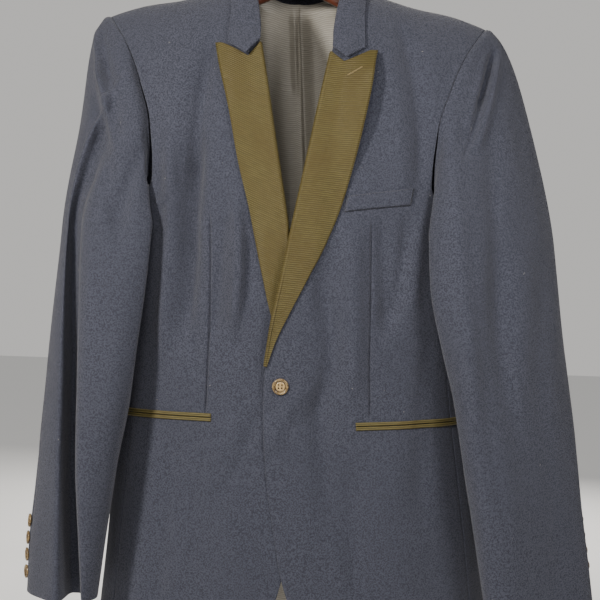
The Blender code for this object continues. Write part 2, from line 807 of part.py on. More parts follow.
def make_collar():
    station, side, (fold, seam, edge) = collar_lines()
    lift = body_normal(edge)
    front_end = step(1 - station)
    fold[:, 2] += np.where(side == RIGHT, RIGHT_GORGE_RISE, 0) * front_end
    outer = edge + lift * (COLLAR_CLEAR + CLOTH)
    middle = (fold + outer) / 2 + lift * collar_column("bulge", station)[:, None]
    control = 2 * middle - (fold + outer) / 2
    drop = np.where(side == RIGHT, GORGE_DROP[RIGHT], GORGE_DROP[LEFT]) * front_end
    rows = []
    for across in (0.0, 0.2, GORGE_ACROSS, 0.7, 1.0):
        line = (1 - across) ** 2 * fold + 2 * across * (1 - across) * control + across**2 * outer
        notch = min(across / GORGE_ACROSS, (1 - across) / (1 - GORGE_ACROSS))
        line[:, 2] -= notch * drop
        line[:, 1] -= notch * drop * GORGE_SLOPE
        rows.append(line)
    grid = np.stack(rows)
    normal = grid_normals(grid)
    normal *= np.sign(np.sum(normal * lift[None], axis=-1))[..., None]
    wall("collar_fall", grid, grid - normal * CLOTH, "wool")
    make_stand(fold - normal[0] * (CLOTH + SEAM), seam)


def grid_normals(grid):
    return unit(np.cross(np.gradient(grid, axis=0), np.gradient(grid, axis=1)))


def make_stand(top, seam):
    """The stand, from under the fold down to the neck seam."""
    inward = -seam.copy()
    inward[:, 2] = 0
    inward = unit(inward)
    foot = seam + inward * STAND_CLEAR
    foot[:, 2] += STAND_CLEAR
    keep = slice(3, -3)
    grid = np.stack([mix(top, foot, t)[keep] for t in (0.0, 0.5, 1.0)])
    wall("collar_stand", grid, grid + inward[None, keep] * CLOTH, "wool")


def armhole_ring(side):
    """The points of an armhole's edge, with the directions across the seam and out of the cloth there."""
    h = 2e-3
    rows = []
    for points_of, u, v in (
        (front_point, np.ones(len(ARCH_ROWS)), ARCH_ROWS),
        (side_point, np.linspace(0, 1, SIDE_COLUMNS)[1:-1], np.zeros(SIDE_COLUMNS - 2)),
        (back_point, np.ones(len(ARCH_ROWS) - 1), ARCH_ROWS[:0:-1]),
    ):
        edge = points_of(side, u, v)
        if points_of is side_point:
            across = edge - points_of(side, u, v + h)
            along = points_of(side, u + h, v) - edge
        else:
            across = edge - points_of(side, u - h, v)
            safe = np.clip(v, h, None)
            along = points_of(side, u, safe + h) - points_of(side, u, safe - h)
        out = unit(np.cross(across, along))
        out *= np.sign(np.sum(out * (edge - world(side * 0.10, 0.0, 0.22)), axis=-1))[..., None]
        rows.append((edge, unit(across), out))
    return [np.concatenate(part) for part in zip(*rows)]


def ring_curve(side, down, samples=241):
    """A sleeve's outline at one height, from its outermost point round the front."""
    table = SLEEVE[side]
    inner = np.array([column(table, "inner_x", down), column(table, "inner_y", down)])
    outer = np.array([column(table, "outer_x", down), column(table, "outer_y", down)])
    half = np.linalg.norm(outer - inner) / 2
    main = (outer - inner) / (2 * half)
    ahead = np.array([main[1], -main[0]])
    angle = np.linspace(0, 2 * np.pi, samples)
    power = 2 / SLEEVE_FLATNESS
    cosine = np.sign(np.cos(angle)) * np.abs(np.cos(angle)) ** power
    sine = np.sign(np.sin(angle)) * np.abs(np.sin(angle)) ** power
    depth = np.where(sine > 0, column(table, "ahead", down), column(table, "behind", down))
    curve = (inner + outer) / 2 + half * cosine[:, None] * main + (depth * sine)[:, None] * ahead
    curve += (column(table, "bend", down) * (1 - cosine**2))[:, None] * ahead
    faces_front = step(sine / 0.5)
    if side == RIGHT:
        centre = column(RIGHT_CHANNEL, "out", down)
        share = (curve[:, 0] - centre) / column(RIGHT_CHANNEL, "half_width", down)
        curve[:, 1] += column(RIGHT_CHANNEL, "depth", down) / (1 + share**6) * faces_front
    curve[:, 1] -= fold_height(SLEEVE_FOLDS[side], curve[:, 0], down) * faces_front
    curve[:, 0] *= side
    return curve


def ring_points(side, down, share):
    """Points round a sleeve at one height: share is 0 at its outermost point, then 0.5 by the front at its inner end."""
    curve = ring_curve(side, down)
    length = np.concatenate([[0], np.cumsum(np.linalg.norm(np.diff(curve, axis=0), axis=1))])
    at = np.interp(np.mod(share, 1.0), (0.0, 0.5, 1.0), (0.0, length[len(length) // 2], length[-1]))
    return world(np.interp(at, length, curve[:, 0]), np.interp(at, length, curve[:, 1]), down)


CAP_ROWS = (0.0, 0.07, 0.16, 0.27, 0.40, 0.55, 0.70, 0.85)
SLEEVE_ROWS = 9


def sleeve_grid(side):
    """A whole sleeve's outside, rows down it and points round it, and the fraction round of each point."""
    edge, across, out = armhole_ring(side)
    gaps = np.linalg.norm(np.diff(np.vstack([edge, edge[:1]]), axis=0), axis=1)
    around = np.concatenate([[0], np.cumsum(gaps)[:-1]]) / gaps.sum()
    turn = np.radians(column(SLEEVE_PITCH, "turn", around))[:, None]
    leave = unit(across * np.cos(turn) + out * np.sin(turn))
    start = edge + leave * SEAM
    first = SLEEVE[side][0].down
    settled = column(SLEEVE_SETTLE, "share", around)
    foot = ring_points(side, first, settled)
    below = ring_points(side, first + 0.01, settled)
    chord = np.linalg.norm(foot - start, axis=1)[:, None]
    leave = leave * chord * column(SLEEVE_PITCH, "reach", around)[:, None]
    arrive = (below - foot) / 0.01 * np.maximum(foot[:, 2:] * -1 - start[:, 2:] * -1, 0.02) * 0.9
    rows = []
    for t in CAP_ROWS:
        t2, t3 = t * t, t * t * t
        rows.append(
            (2 * t3 - 3 * t2 + 1) * start
            + (t3 - 2 * t2 + t) * leave
            + (3 * t2 - 2 * t3) * foot
            + (t3 - t2) * arrive
        )
    for down in np.linspace(first, SLEEVE[side][-1].down, SLEEVE_ROWS):
        rows.append(ring_points(side, down, settled + column(SLEEVE[side], "twist", down)))
    return np.stack(rows), around


def make_sleeves():
    for word, side in SIDES.items():
        grid, around = sleeve_grid(side)
        wrapped = np.concatenate([grid[:, -1:], grid, grid[:, :1]], axis=1)
        normal = grid_normals(wrapped)[:, 1:-1]
        axis = grid.mean(axis=1, keepdims=True)
        if np.sum(normal * (grid - axis)) < 0:
            normal = -normal
        count = len(around)
        fore = int(np.argmin(np.abs(around - FORE_SEAM)))
        hind = int(np.argmin(np.abs(around - HIND_SEAM)))
        for part, order in (
            ("top", list(range(hind, count)) + list(range(fore + 1))),
            ("under", list(range(fore, hind + 1))),
        ):
            outside = grid[:, order].copy()
            outside[:, 0] += unit(outside[:, 1] - outside[:, 0]) * SLEEVE_SEAM / 2
            outside[:, -1] += unit(outside[:, -2] - outside[:, -1]) * SLEEVE_SEAM / 2
            wall(f"sleeve_{word}_{part}", outside, outside - normal[:, order] * CLOTH, "wool")
        make_cuff_buttons(word, side)


def button(name, centre, axis, radius, thick, segments):
    profile = (
        (0.0, 0.0),
        (0.72 * radius, 0.0),
        (radius, 0.38 * thick),
        (0.97 * radius, 0.72 * thick),
        (0.80 * radius, thick),
        (0.60 * radius, 0.62 * thick),
        (0.0, 0.62 * thick),
    )
    return turned(name, profile, centre, axis, segments, "horn")


def make_cuff_buttons(word, side):
    """Four buttons up from the cuff, beside the hind seam."""
    for k in range(4):
        down = CUFF_BUTTON_FIRST[side] + k * CUFF_BUTTON_STEP[side]
        share = CUFF_BUTTON_SHARE[side]
        before, here, after = ring_points(side, down, share + np.array([-0.02, 0.0, 0.02]))
        run = unit(after - before)
        out = np.array([run[1], -run[0], 0.0])
        out = out * np.sign(out @ (here - world(ring_curve(side, down)[:, 0].mean(), -0.07, down)))
        pieces = (f"sleeve_{word}_top", f"sleeve_{word}_under")
        place, facing = resting(pieces, here + out * ABOVE, BUTTON_STAND)
        name = f"sleeve_{word}_button_{k + 1}"
        button(name, place, facing, CUFF_BUTTON_RADIUS, CUFF_BUTTON_THICK, 12)


def resting(names, points, lift):
    """The nearest places on the named pieces' facets to points off the cloth, lifted towards them, and the way up."""
    graph = bpy.context.evaluated_depsgraph_get()
    trees = [BVHTree.FromObject(bpy.data.objects[name], graph) for name in names]
    places, facing = [], []
    for point in np.asarray(points, float).reshape(-1, 3):
        found = [tree.find_nearest(Vector(point)) for tree in trees]
        place = min(found, key=lambda hit: hit[3])[0]
        places.append(place)
        facing.append(Vector(point) - place)
    shape = np.shape(points)
    places, facing = np.array(places).reshape(shape), unit(np.array(facing).reshape(shape))
    return places + facing * lift, facing


def on_body(side, x, down, lift):
    """Points laid on the outside of a front and its side panel."""
    word = "left" if side == LEFT else "right"
    start = world(x, front_y(side, x, down) - ABOVE, down)
    return resting((f"front_{word}", f"side_{word}"), start, lift)[0]


def make_pockets():
    for word, side in SIDES.items():
        x = side * np.linspace(POCKET_IN, POCKET_REACH, 400)
        run = world(x, front_y(side, x, np.full(400, POCKET_DOWN[side])), POCKET_DOWN[side])
        length = np.concatenate([[0], np.cumsum(np.linalg.norm(np.diff(run, axis=0), axis=1))])
        count = 17
        across = np.interp(np.linspace(0, POCKET_LENGTH, count), length, x)
        for part, low, high in (("upper", -JET_TALL, -JET_GAP / 2), ("lower", JET_GAP / 2, JET_TALL)):
            out, rise = np.meshgrid(across, [low, high])
            down = POCKET_DOWN[side] - POCKET_RISE[side] * np.linspace(0, 1, count)[None] + rise
            wall(
                f"pocket_{word}_{part}",
                on_body(side, out, down, JET_LIFT + SILK),
                on_body(side, out, down, JET_LIFT),
                "silk",
            )
    corners = np.array(WELT_CORNERS)
    across, along = np.meshgrid(np.linspace(0, 1, 17), np.linspace(0, 1, 5))
    upper = mix(corners[0], corners[1], across[..., None])
    lower = mix(corners[3], corners[2], across[..., None])
    place = mix(upper, lower, along[..., None])
    x, down = place[..., 0], place[..., 1]
    wall(
        "chest_welt",
        on_body(LEFT, x, down, JET_LIFT + WELT_THICK),
        on_body(LEFT, x, down, JET_LIFT),
        "wool",
    )


def make_front_button():
    x, down = FRONT_BUTTON_AT
    place, normal = resting(("front_left",), world(x, front_y(LEFT, x, down) - ABOVE, down), BUTTON_STAND)
    button("front_button", place, normal, FRONT_BUTTON_RADIUS, FRONT_BUTTON_THICK, 20)


def make_lining():
    """The lining against the inside of the back, with the pleat down its middle."""
    across = np.array([-1, -0.8, -0.6, -0.4, -0.2, -0.06, 0.0, 0.03, 0.05, 0.09, 0.13, 0.2, 0.4, 0.6, 0.8, 1.0])
    along = np.concatenate([LINING_ROWS, np.linspace(1, 2, 11)])
    across, along = np.meshgrid(across, along)
    x = across * LINING_HALF
    start = neck_start(x) + LINING_TUCK
    share = start + (1 - start) * np.clip(along, 0, 0.9999)
    down = np.where(along < 1, level(x, share, BACK_ARCH), mix(ARMHOLE, LINING_END, along - 1))
    x = x + column(BODY, "centre", down)
    inner = world(x, np.minimum(back_y(LEFT, x, down), back_y(RIGHT, x, down)), down)
    inner = mix(inner, world(column(BODY, "centre", down), 0.0, np.maximum(down, ARMHOLE)), INWARD)
    pleat = PLEAT_HEIGHT * np.exp(-(((x - PLEAT_MIDDLE) / PLEAT_HALF) ** 4)) * step((0.42 - down) / 0.20)
    place, facing = resting(("back_left", "back_right"), inner, LINING_CLEAR)
    outside = place + facing * pleat[..., None]
    wall("back_lining", outside, outside + facing * LINING_THICK, "lining")


def make_hanger():
    rings = []
    for sign in (-1, 1):
        stations = [row for row in HANGER if row.out > 0 or sign > 0]
        for row in stations if sign > 0 else reversed(stations):
            angle = 2 * np.pi * np.arange(12) / 12
            y = row.half_thick * np.cos(angle)
            down = row.top + row.tall / 2 * (1 - np.sin(angle))
            rings.append(world(sign * row.out, y, down))
    tube("hanger_body", rings, "wood")


def make_hook():
    """The hook's wire, from its tip over the top and down to the wood."""
    radius = HOOK_INSIDE + HOOK_WIRE
    middle = np.array([0.0, -HOOK_INSIDE])
    angles = np.radians(np.linspace(HOOK_TIP, HOOK_TURN, 18))
    route = [middle + radius * np.array([math.cos(a), math.sin(a)]) for a in angles]
    foot = -(HOOK_DROP + HANGER[0].top) + SEAM
    route += [np.array(point) for point in ((0.0068, -0.0405), (0.0015, -0.0475), (0.0, -0.056), (0.0, foot))]
    route = np.array(route)
    along = unit(np.gradient(route, axis=0))
    rings = []
    for (x, z), (run_x, run_z) in zip(route, along):
        angle = 2 * np.pi * np.arange(10) / 10
        across = HOOK_WIRE * np.cos(angle)
        rings.append(np.stack([x - run_z * across, HOOK_WIRE * np.sin(angle), z + run_x * across], axis=-1))
    tube("hanger_hook", rings, "steel")


def main():
    for thing in list(bpy.data.objects):
        bpy.data.objects.remove(thing, do_unlink=True)
    make_body()
    make_lapels()
    make_collar()
    make_sleeves()
    make_pockets()
    make_front_button()
    make_lining()
    make_hanger()
    make_hook()


main()
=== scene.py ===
"""The looks of a dinner jacket on its wooden hanger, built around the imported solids.

Each piece of cloth is a thin shell on its solid's form, with its folds, seams and stitching. X runs to the wearer's
left, Y to the back and Z up, in metres; the tables made by in_mm are in millimetres. `down` is the distance below
the neck point of the shoulder, which lies HOOK_DROP below the origin. A piece's UV map holds its cloth's own metres,
so that a weave keeps its real size.
"""

import logging
import math
from dataclasses import dataclass
from enum import Enum
from functools import partial
from typing import NamedTuple, Optional, Sequence

import bmesh
import bpy
import numpy as np
from mathutils import Euler, Matrix, Vector

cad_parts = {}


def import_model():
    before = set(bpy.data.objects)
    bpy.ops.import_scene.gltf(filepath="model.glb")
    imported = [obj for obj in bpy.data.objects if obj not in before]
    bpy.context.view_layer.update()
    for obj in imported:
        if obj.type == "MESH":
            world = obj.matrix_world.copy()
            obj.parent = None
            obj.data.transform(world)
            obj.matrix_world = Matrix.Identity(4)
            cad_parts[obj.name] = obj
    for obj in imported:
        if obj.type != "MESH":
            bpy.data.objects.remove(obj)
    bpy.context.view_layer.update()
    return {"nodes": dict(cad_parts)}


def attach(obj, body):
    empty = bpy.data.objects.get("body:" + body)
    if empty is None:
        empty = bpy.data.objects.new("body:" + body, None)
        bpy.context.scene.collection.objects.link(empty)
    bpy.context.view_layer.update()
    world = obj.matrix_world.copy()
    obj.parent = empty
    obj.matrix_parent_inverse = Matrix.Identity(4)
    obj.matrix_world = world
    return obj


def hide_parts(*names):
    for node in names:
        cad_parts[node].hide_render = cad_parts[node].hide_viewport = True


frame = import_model()

LOG = logging.getLogger("jacket")

Array = np.ndarray
OptArray = Optional[np.ndarray]
Thing = bpy.types.Object
Material = bpy.types.Material
Node = bpy.types.Node
Socket = bpy.types.NodeSocket

AHEAD, BEHIND = (0.0, -1.0, 0.0), (0.0, 1.0, 0.0)
HOOK_DROP = 0.090
CLOSE_STEPS = np.array([0.0, 0.0005, 0.0013])
EDGE_DRAW = np.array([0.72, 0.26, 0.05])
HOLE_AT, HOLE_HALF, HOLE_DEEP = 0.20, 0.085, 0.42
LEAST_FLAT = 0.0102
LEAST_CUT = 0.32
CLOTH = 0.0016
SILK = 0.0012
SEAM = 0.00005
LAY = 0.0009
ARMHOLE = 0.272
HEM = 0.775
NECK_HALF = 0.070
FULLNESS = 2.4
BACK_NECK_RISE = 0.32
UNDERARM_DIP = 0.008
SIDE_GAP = 0.02
SEAM_FADE = 0.020
PANEL_FIRST_X = 0.2


class Side(Enum):
    """A side of the wearer."""

    LEFT = 1.0
    RIGHT = -1.0

    @property
    def sign(self) -> float:
        """1 where x is positive, and -1 on the other side."""
        return self.value

    @property
    def word(self) -> str:
        """The side's name in lower case."""
        return self.name.lower()


class Slot(Enum):
    """The record's material slots."""

    WOOL = "wool"
    SILK = "silk"
    LINING = "lining"
    HORN = "horn"
    WOOD = "wood"
    STEEL = "steel"


def rows_of(kind: type, *values: tuple) -> tuple:
    """A table's rows, each with its kind's named columns."""
    return tuple(kind(*row) for row in values)


def in_mm(kind: type, *values: tuple) -> tuple:
    """A table's rows, given in millimetres, and in thousandths where a column holds shares."""
    return rows_of(kind, *([round(value / 1000, 7) for value in row] for row in values))


class Section(NamedTuple):
    """The body's outline at one height."""

    down: float
    half_width: float
    front_depth: float
    back_depth: float
    centre: float


BODY = in_mm(
    Section,
    (0, 250, 88, 78, 0), (100, 249, 88, 78, 0), (160, 239, 88, 78, 0), (220, 222, 88, 78, 0), (272, 210, 88, 78, 0),
    (360, 203, 86, 70, 1), (460, 201, 83, 64, 5), (560, 210, 81, 68, 11), (660, 221, 82, 74, 15),
    (775, 232, 84, 78, 18),
)


class ShoulderPoint(NamedTuple):
    """The shoulder line, by distance from the middle of the back."""

    out: float
    down: float


SHOULDER = in_mm(
    ShoulderPoint,
    (0, -12), (40, -6), (70, 1), (100, 11), (135, 21), (187, 31), (225, 44), (260, 60),
)


class ArmholePoint(NamedTuple):
    """How far out the armhole seams lie, in front and behind."""

    down: float
    front: float
    back: float


ARMHOLE_SEAM = in_mm(
    ArmholePoint,
    (43, 223.5, 223.5), (61, 211, 217), (80, 199, 211), (105, 186.5, 205.5), (135, 175.5, 200), (165, 165.5, 196.5),
    (195, 161, 194), (225, 158.5, 193), (250, 160.5, 192.5), (263, 169, 192),
)


class EdgePoint(NamedTuple):
    """A front's own edge: its neck seam, its roll line, then its opening edge. `out` is towards its own side."""

    down: float
    out: float
    sway: float


FRONT_EDGE = in_mm(
    EdgePoint,
    (1, 70, 0), (20, 60, 0), (40, 52.5, 0), (65, 45.5, 0), (90, 40.5, 0), (162, 28.2, 0), (229, 16, 0), (285, 5.8, 0),
    (352, -5, -1), (419, -16, -2), (455, -20.5, -2), (500, -21, -2), (575, -18, 1), (646, -9, 4), (688, 0, 4),
    (720, 11, 5), (748, 30, 5), (765, 54, 5), (775, 90, 6),
)


class SidePoint(NamedTuple):
    """How far a line on the left and on the right lies towards its own side."""

    down: float
    left: float
    right: float


LAPEL_EDGE = in_mm(
    SidePoint,
    (85, 92.5, 92.5), (160, 80.1, 73.5), (227, 66.8, 59), (276, 53.5, 45.9), (312, 39.8, 37.6), (351, 22.3, 27.5),
    (391, 3.7, 16.5), (419, -8.7, 6), (450, -18.5, -13),
)
LAPEL_END = 0.449
LAPEL_STAND = 0.0020
LAPEL_EDGE_ROLL = 0.0003
RIB_SLANT = {Side.LEFT: -0.06, Side.RIGHT: -0.42}
LAPEL_LIFT = 0.0022
LAPEL_SHOWN = {Side.LEFT: 0.440, Side.RIGHT: 0.345}
LAPEL_APART = {Side.LEFT: 0.0135, Side.RIGHT: 0.0020}


class PeakPoint(NamedTuple):
    """The lapel's top edge from the roll line, over the gorge seam, to the peak."""

    across: float
    left: float
    right: float


LAPEL_TOP = in_mm(
    PeakPoint,
    (0, 93.5, 84.5), (310, 104.5, 101.5), (600, 97.5, 92.5), (840, 90.8, 86), (1000, 91.1, 85.3),
)


class Fold(NamedTuple):
    """A soft ridge, or a trough where the height is below zero, through three points on a side's cloth."""

    out_1: float
    down_1: float
    out_2: float
    down_2: float
    out_3: float
    down_3: float
    width: float
    height: float


FRONT_FOLDS = {
    Side.LEFT: in_mm(
        Fold,
        (120, 60, 140, 150, 146, 245, 14, -5), (100, 90, 117, 170, 126, 250, 14, 3),
        (130, 285, 128, 335, 115, 400, 14, -4), (46, 330, 33, 400, 29, 465, 12, -3.6),
        (42, 483, 44, 550, 62, 640, 16, -3.5), (70, 310, 70, 390, 77, 460, 18, 2.5),
        (124, 540, 134, 640, 145, 740, 24, 4),
    ),
    Side.RIGHT: in_mm(
        Fold,
        (96, 90, 111, 250, 119, 400, 16, -5.5), (130, 100, 139, 190, 141, 270, 13, 3),
        (66, 310, 57, 380, 50, 440, 14, 3), (56, 520, 45, 600, 37, 720, 20, 3.5),
        (102, 520, 105, 600, 97, 740, 22, -3.5),
    ),
}
BACK_FOLDS = {
    Side.LEFT: in_mm(
        Fold,
        (90, 120, 110, 240, 118, 380, 18, -4.5), (60, 500, 66, 600, 74, 740, 22, -4),
        (135, 480, 140, 600, 150, 740, 24, 3.5),
    ),
    Side.RIGHT: in_mm(
        Fold,
        (98, 130, 112, 230, 112, 340, 18, -4), (52, 460, 60, 590, 60, 740, 22, -4),
        (120, 520, 128, 620, 142, 740, 24, 3.5),
    ),
}


class CollarStation(NamedTuple):
    """The collar from its front end to the middle back: its fold, its seam on the neck and its outer edge."""

    fold_out: float
    fold_y: float
    fold_down: float
    seam_out: float
    seam_turn: float
    edge_out: float
    edge_turn: float
    bulge: float


COLLAR = rows_of(
    CollarStation,
    (0.041, -0.0705, 0.087, 0.0415, 41.5, 0.0775, 42.2, 0.001),
    (0.0435, -0.064, 0.064, 0.0455, 47.4, 0.0768, 49.2, 0.002),
    (0.0465, -0.054, 0.039, 0.0525, 56.6, 0.0768, 58.2, 0.003),
    (0.0515, -0.04, 0.013, 0.06, 66.6, 0.079, 67.2, 0.005), (0.058, -0.022, -0.008, 0.066, 75.7, 0.084, 78.0, 0.006),
    (0.062, 0.0, -0.018, 0.069, 90.0, 0.088, 90.0, 0.006), (0.057, 0.022, -0.019, 0.064, 94.5, 0.083, 103.0, 0.006),
    (0.042, 0.037, -0.0175, 0.049, 105.5, 0.062, 114.0, 0.005),
    (0.021, 0.046, -0.0155, 0.025, 115.6, 0.032, 121.5, 0.004), (0.0, 0.049, -0.015, 0.0, 118.8, 0.0, 124.4, 0.004),
)
GORGE_ACROSS = 0.42
GORGE_DROP = {Side.LEFT: 0.0140, Side.RIGHT: 0.0175}
RIGHT_GORGE_RISE = 0.0065
COLLAR_CLEAR = 0.0014
GORGE_SLOPE = 0.6


class SleeveRing(NamedTuple):
    """A sleeve's outline at one height: the ends of its width, its depth before and behind, its twist and its bend."""

    down: float
    inner_x: float
    inner_y: float
    outer_x: float
    outer_y: float
    ahead: float
    behind: float
    twist: float
    bend: float


SLEEVE = {
    Side.LEFT: in_mm(
        SleeveRing,
        (300, 155, -88, 310.7, 20, 33, 14, 0, 14), (360, 160.5, -92, 317.4, 0, 33, 18, 10, 8),
        (420, 172.5, -96, 322.7, -16, 31, 22, 20, 4), (480, 187, -98, 328.5, -28, 28.5, 24.5, 30, 0),
        (540, 198.5, -99, 335.3, -38, 26.5, 25.5, 40, 0), (600, 209.5, -100, 341.8, -45, 25, 25, 45, 0),
        (660, 220, -100, 351.3, -50, 23.5, 23.5, 50, 0), (703, 228, -100, 357, -54, 22.5, 22.5, 50, 0),
    ),
    Side.RIGHT: in_mm(
        SleeveRing,
        (300, 155, -86, 254.6, 26, 38, 8, 0, 19), (360, 160, -92, 257.6, 8, 42, 16, 10, 10),
        (420, 166, -97, 260.5, -8, 42, 20.5, 25, 5), (480, 172.5, -101, 264.6, -20, 41, 24.5, 40, 0),
        (540, 182, -103, 268.3, -29, 39, 27.5, 55, 0), (600, 191, -104, 270.8, -36, 36, 30, 70, 0),
        (660, 198.5, -104, 276.3, -42, 33, 30, 80, 0), (711, 205, -104, 276.3, -48, 31, 30, 85, 0),
    ),
}
SLEEVE_FLATNESS = 2.3
CREASE_FROM = {Side.LEFT: 0.150, Side.RIGHT: 0.070}
CREASE_SHARE = {Side.LEFT: 0.35, Side.RIGHT: 1.0}
FORE_SEAM, HIND_SEAM = 0.43, 0.77


class SleevePitch(NamedTuple):
    """How a sleeve leaves the armhole, by distance round it: its turn from the body's surface and its reach."""

    around: float
    turn: float
    reach: float


class Settle(NamedTuple):
    """Where a place on the armhole's edge comes to lie round the sleeve, both as shares of the way round."""

    around: float
    share: float


SLEEVE_SETTLE = in_mm(
    Settle,
    (0, 0), (120, 150), (220, 290), (300, 400), (360, 485), (420, 555), (500, 645), (600, 750), (720, 850),
    (860, 930), (1000, 1000),
)
SLEEVE_PITCH = rows_of(
    SleevePitch,
    (0.0, 14.0, 0.49), (0.12, 14.0, 0.49), (0.22, 24.0, 0.42), (0.3, 40.0, 0.36), (0.37, 68.0, 0.34),
    (0.44, 86.0, 0.7), (0.5, 92.0, 1.05), (0.6, 86.0, 1.05), (0.75, 32.0, 0.38), (0.88, 16.0, 0.47),
    (1.0, 14.0, 0.49),
)


class Channel(NamedTuple):
    """The deep upright fold down the front of the right sleeve."""

    down: float
    out: float
    half_width: float
    depth: float


RIGHT_CHANNEL = in_mm(
    Channel,
    (170, 229, 10, 0), (240, 238.5, 9, 6), (300, 242, 8, 17), (420, 238.5, 7.5, 26), (600, 230.5, 8, 31),
    (711, 225.8, 8.5, 32),
)
SLEEVE_FOLDS = {
    Side.LEFT: in_mm(
        Fold,
        (222, 80, 209, 135, 186, 200, 9, -4.5), (180, 200, 188, 340, 228, 640, 20, 4),
        (232, 190, 233, 320, 256, 540, 18, -5),
    ),
    Side.RIGHT: in_mm(
        Fold,
        (232, 76, 223, 125, 206, 175, 9, 4), (217, 175, 206, 243, 186, 310, 12, -6),
    ),
}

POCKET_IN = 0.081
POCKET_LENGTH = 0.145
POCKET_DOWN = {Side.LEFT: 0.5133, Side.RIGHT: 0.5087}
POCKET_RISE = {Side.LEFT: 0.0072, Side.RIGHT: 0.0}
JET_TALL = 0.0045
JET_GAP = 0.0006
WELT_CORNERS = ((0.0620, 0.2570), (0.1363, 0.2444), (0.1335, 0.2640), (0.0590, 0.2750))

LINING_THICK = 0.0010
LINING_HALF = 0.150
LINING_END = 0.755
PLEAT_HALF, PLEAT_HEIGHT = 0.009, 0.008


class HangerStation(NamedTuple):
    """The wooden hanger, by distance from its middle."""

    out: float
    top: float
    tall: float
    half_thick: float


HANGER = in_mm(
    HangerStation,
    (0, -18, 26, 8), (18, -16.5, 26.2, 8), (40, -7.5, 26.5, 8.5), (60, 1, 26.5, 9.5), (80, 7.5, 26.5, 11),
    (110, 17.5, 27, 13), (145, 27, 28, 16), (180, 33, 28, 18), (196, 38, 22, 16),
)
HOOK_INSIDE = 0.0175
HOOK_WIRE = 0.0020
HOOK_TIP, HOOK_TURN = 196.0, -42.0

FRONT_FINE = {
    Side.LEFT: in_mm(
        Fold,
        (122, 66, 140, 150, 146, 240, 6, -1.2), (129, 290, 127, 335, 118, 390, 7, -1.3),
        (37.5, 355, 48.5, 410, 40, 495, 10, -3), (70, 300, 74, 380, 76, 470, 12, 2.6),
        (104, 285, 108, 330, 112, 400, 9, -2.6), (41, 485, 43, 530, 54, 590, 8, -1.6),
        (10, 485, -3, 513, -15, 541, 10, 1.6), (76, 570, 80, 620, 88, 690, 13, -2),
        (152, 235, 146, 300, 140, 380, 9, 1.3), (160, 420, 158, 500, 160, 600, 12, -1.4),
    ),
    Side.RIGHT: in_mm(
        Fold,
        (97, 90, 106, 160, 110, 240, 7, -2), (43, 300, 45, 350, 55, 434, 8, -1.4),
        (107, 215, 111, 300, 113, 400, 8, -4.8), (137, 215, 136, 300, 138, 420, 9, 3),
        (60, 270, 56, 335, 58, 400, 7, 3.8), (76, 300, 78, 350, 82, 420, 6, -2.2),
        (152, 230, 141, 300, 133, 370, 8, -1.4), (28, 500, 44, 545, 70, 600, 9, -1.2),
        (128, 550, 132, 640, 140, 730, 13, -1.8), (108, 310, 100, 380, 104, 450, 8, -1.2),
    ),
}
BACK_FINE = {
    Side.LEFT: in_mm(
        Fold,
        (92, 130, 110, 230, 117, 340, 8, -1.4), (34, 60, 42, 130, 40, 220, 11, -1.2),
        (104, 480, 112, 600, 124, 730, 11, -1.6), (30, 520, 33, 620, 40, 740, 10, 1.4),
    ),
    Side.RIGHT: in_mm(
        Fold,
        (100, 140, 112, 220, 114, 320, 8, -1.4), (40, 70, 46, 150, 42, 240, 12, -1.2),
        (92, 450, 100, 580, 108, 730, 12, -1.6), (24, 480, 26, 600, 26, 740, 10, 1.2),
    ),
}
SLEEVE_FINE = {
    Side.LEFT: in_mm(
        Fold,
        (231, 78, 223, 108, 213, 142, 3.8, -12), (234, 86, 224, 140, 210, 190, 5, 4.5),
        (219, 86, 208.5, 130, 196, 172, 5.5, 4), (213, 140, 206, 170, 193, 205, 3, -4),
        (178, 200, 185, 310, 210, 480, 12, 3), (227, 200, 229, 311, 246, 480, 12, -4),
        (262, 150, 272, 260, 288, 380, 12, -1.8), (200, 330, 216, 450, 238, 600, 10, -1.5),
        (280, 420, 296, 540, 312, 680, 12, -1.4),
    ),
    Side.RIGHT: in_mm(
        Fold,
        (237.5, 66, 231, 98, 221.5, 134, 4.5, 6), (229, 110, 218, 150, 205, 198, 5, 6),
        (231, 66, 223.5, 96, 213, 130, 6, -3.4), (221, 106, 210, 146, 197, 192, 7, -3),
        (233, 140, 224, 195, 232, 255, 7.5, -5), (216, 180, 205, 250, 188, 310, 8, -2.2),
        (200, 350, 196, 460, 204, 640, 12, -1.6), (222, 300, 218, 420, 222, 600, 7, 1.2),
    ),
}


DART = in_mm(
    SidePoint,
    (276, 90.5, 90.5), (374, 93, 87), (440, 94, 87), (503, 96.8, 88),
)
DART_DEEP = 0.0026
DART_AT = 0.44
DART_CLEAR = 0.024
DART_COLUMNS = np.array([-0.018, -0.011, -0.0065, -0.003, 0.0, 0.003, 0.0065, 0.011, 0.018])
BUTTON_FACE = 0.60
BUTTON_SECTION = (
    (0.50, 0.60), (0.54, 0.56), (0.575, 0.46), (0.61, 0.46), (0.65, 0.58), (0.70, 0.74), (0.76, 0.88), (0.83, 0.97),
    (0.89, 0.98), (0.95, 0.90), (0.985, 0.76), (1.0, 0.58), (0.985, 0.40), (0.92, 0.24), (0.80, 0.10), (0.60, 0.03),
    (0.30, 0.0),
)


class Half(NamedTuple):
    """The body's front or back: its way along y, its arch's roundness, its seam's place in degrees, and its folds."""

    word: str
    way: float
    arch: float
    seam: float
    folds: dict
    fine: dict
    deepen: float
    seeds: dict
    soft: float


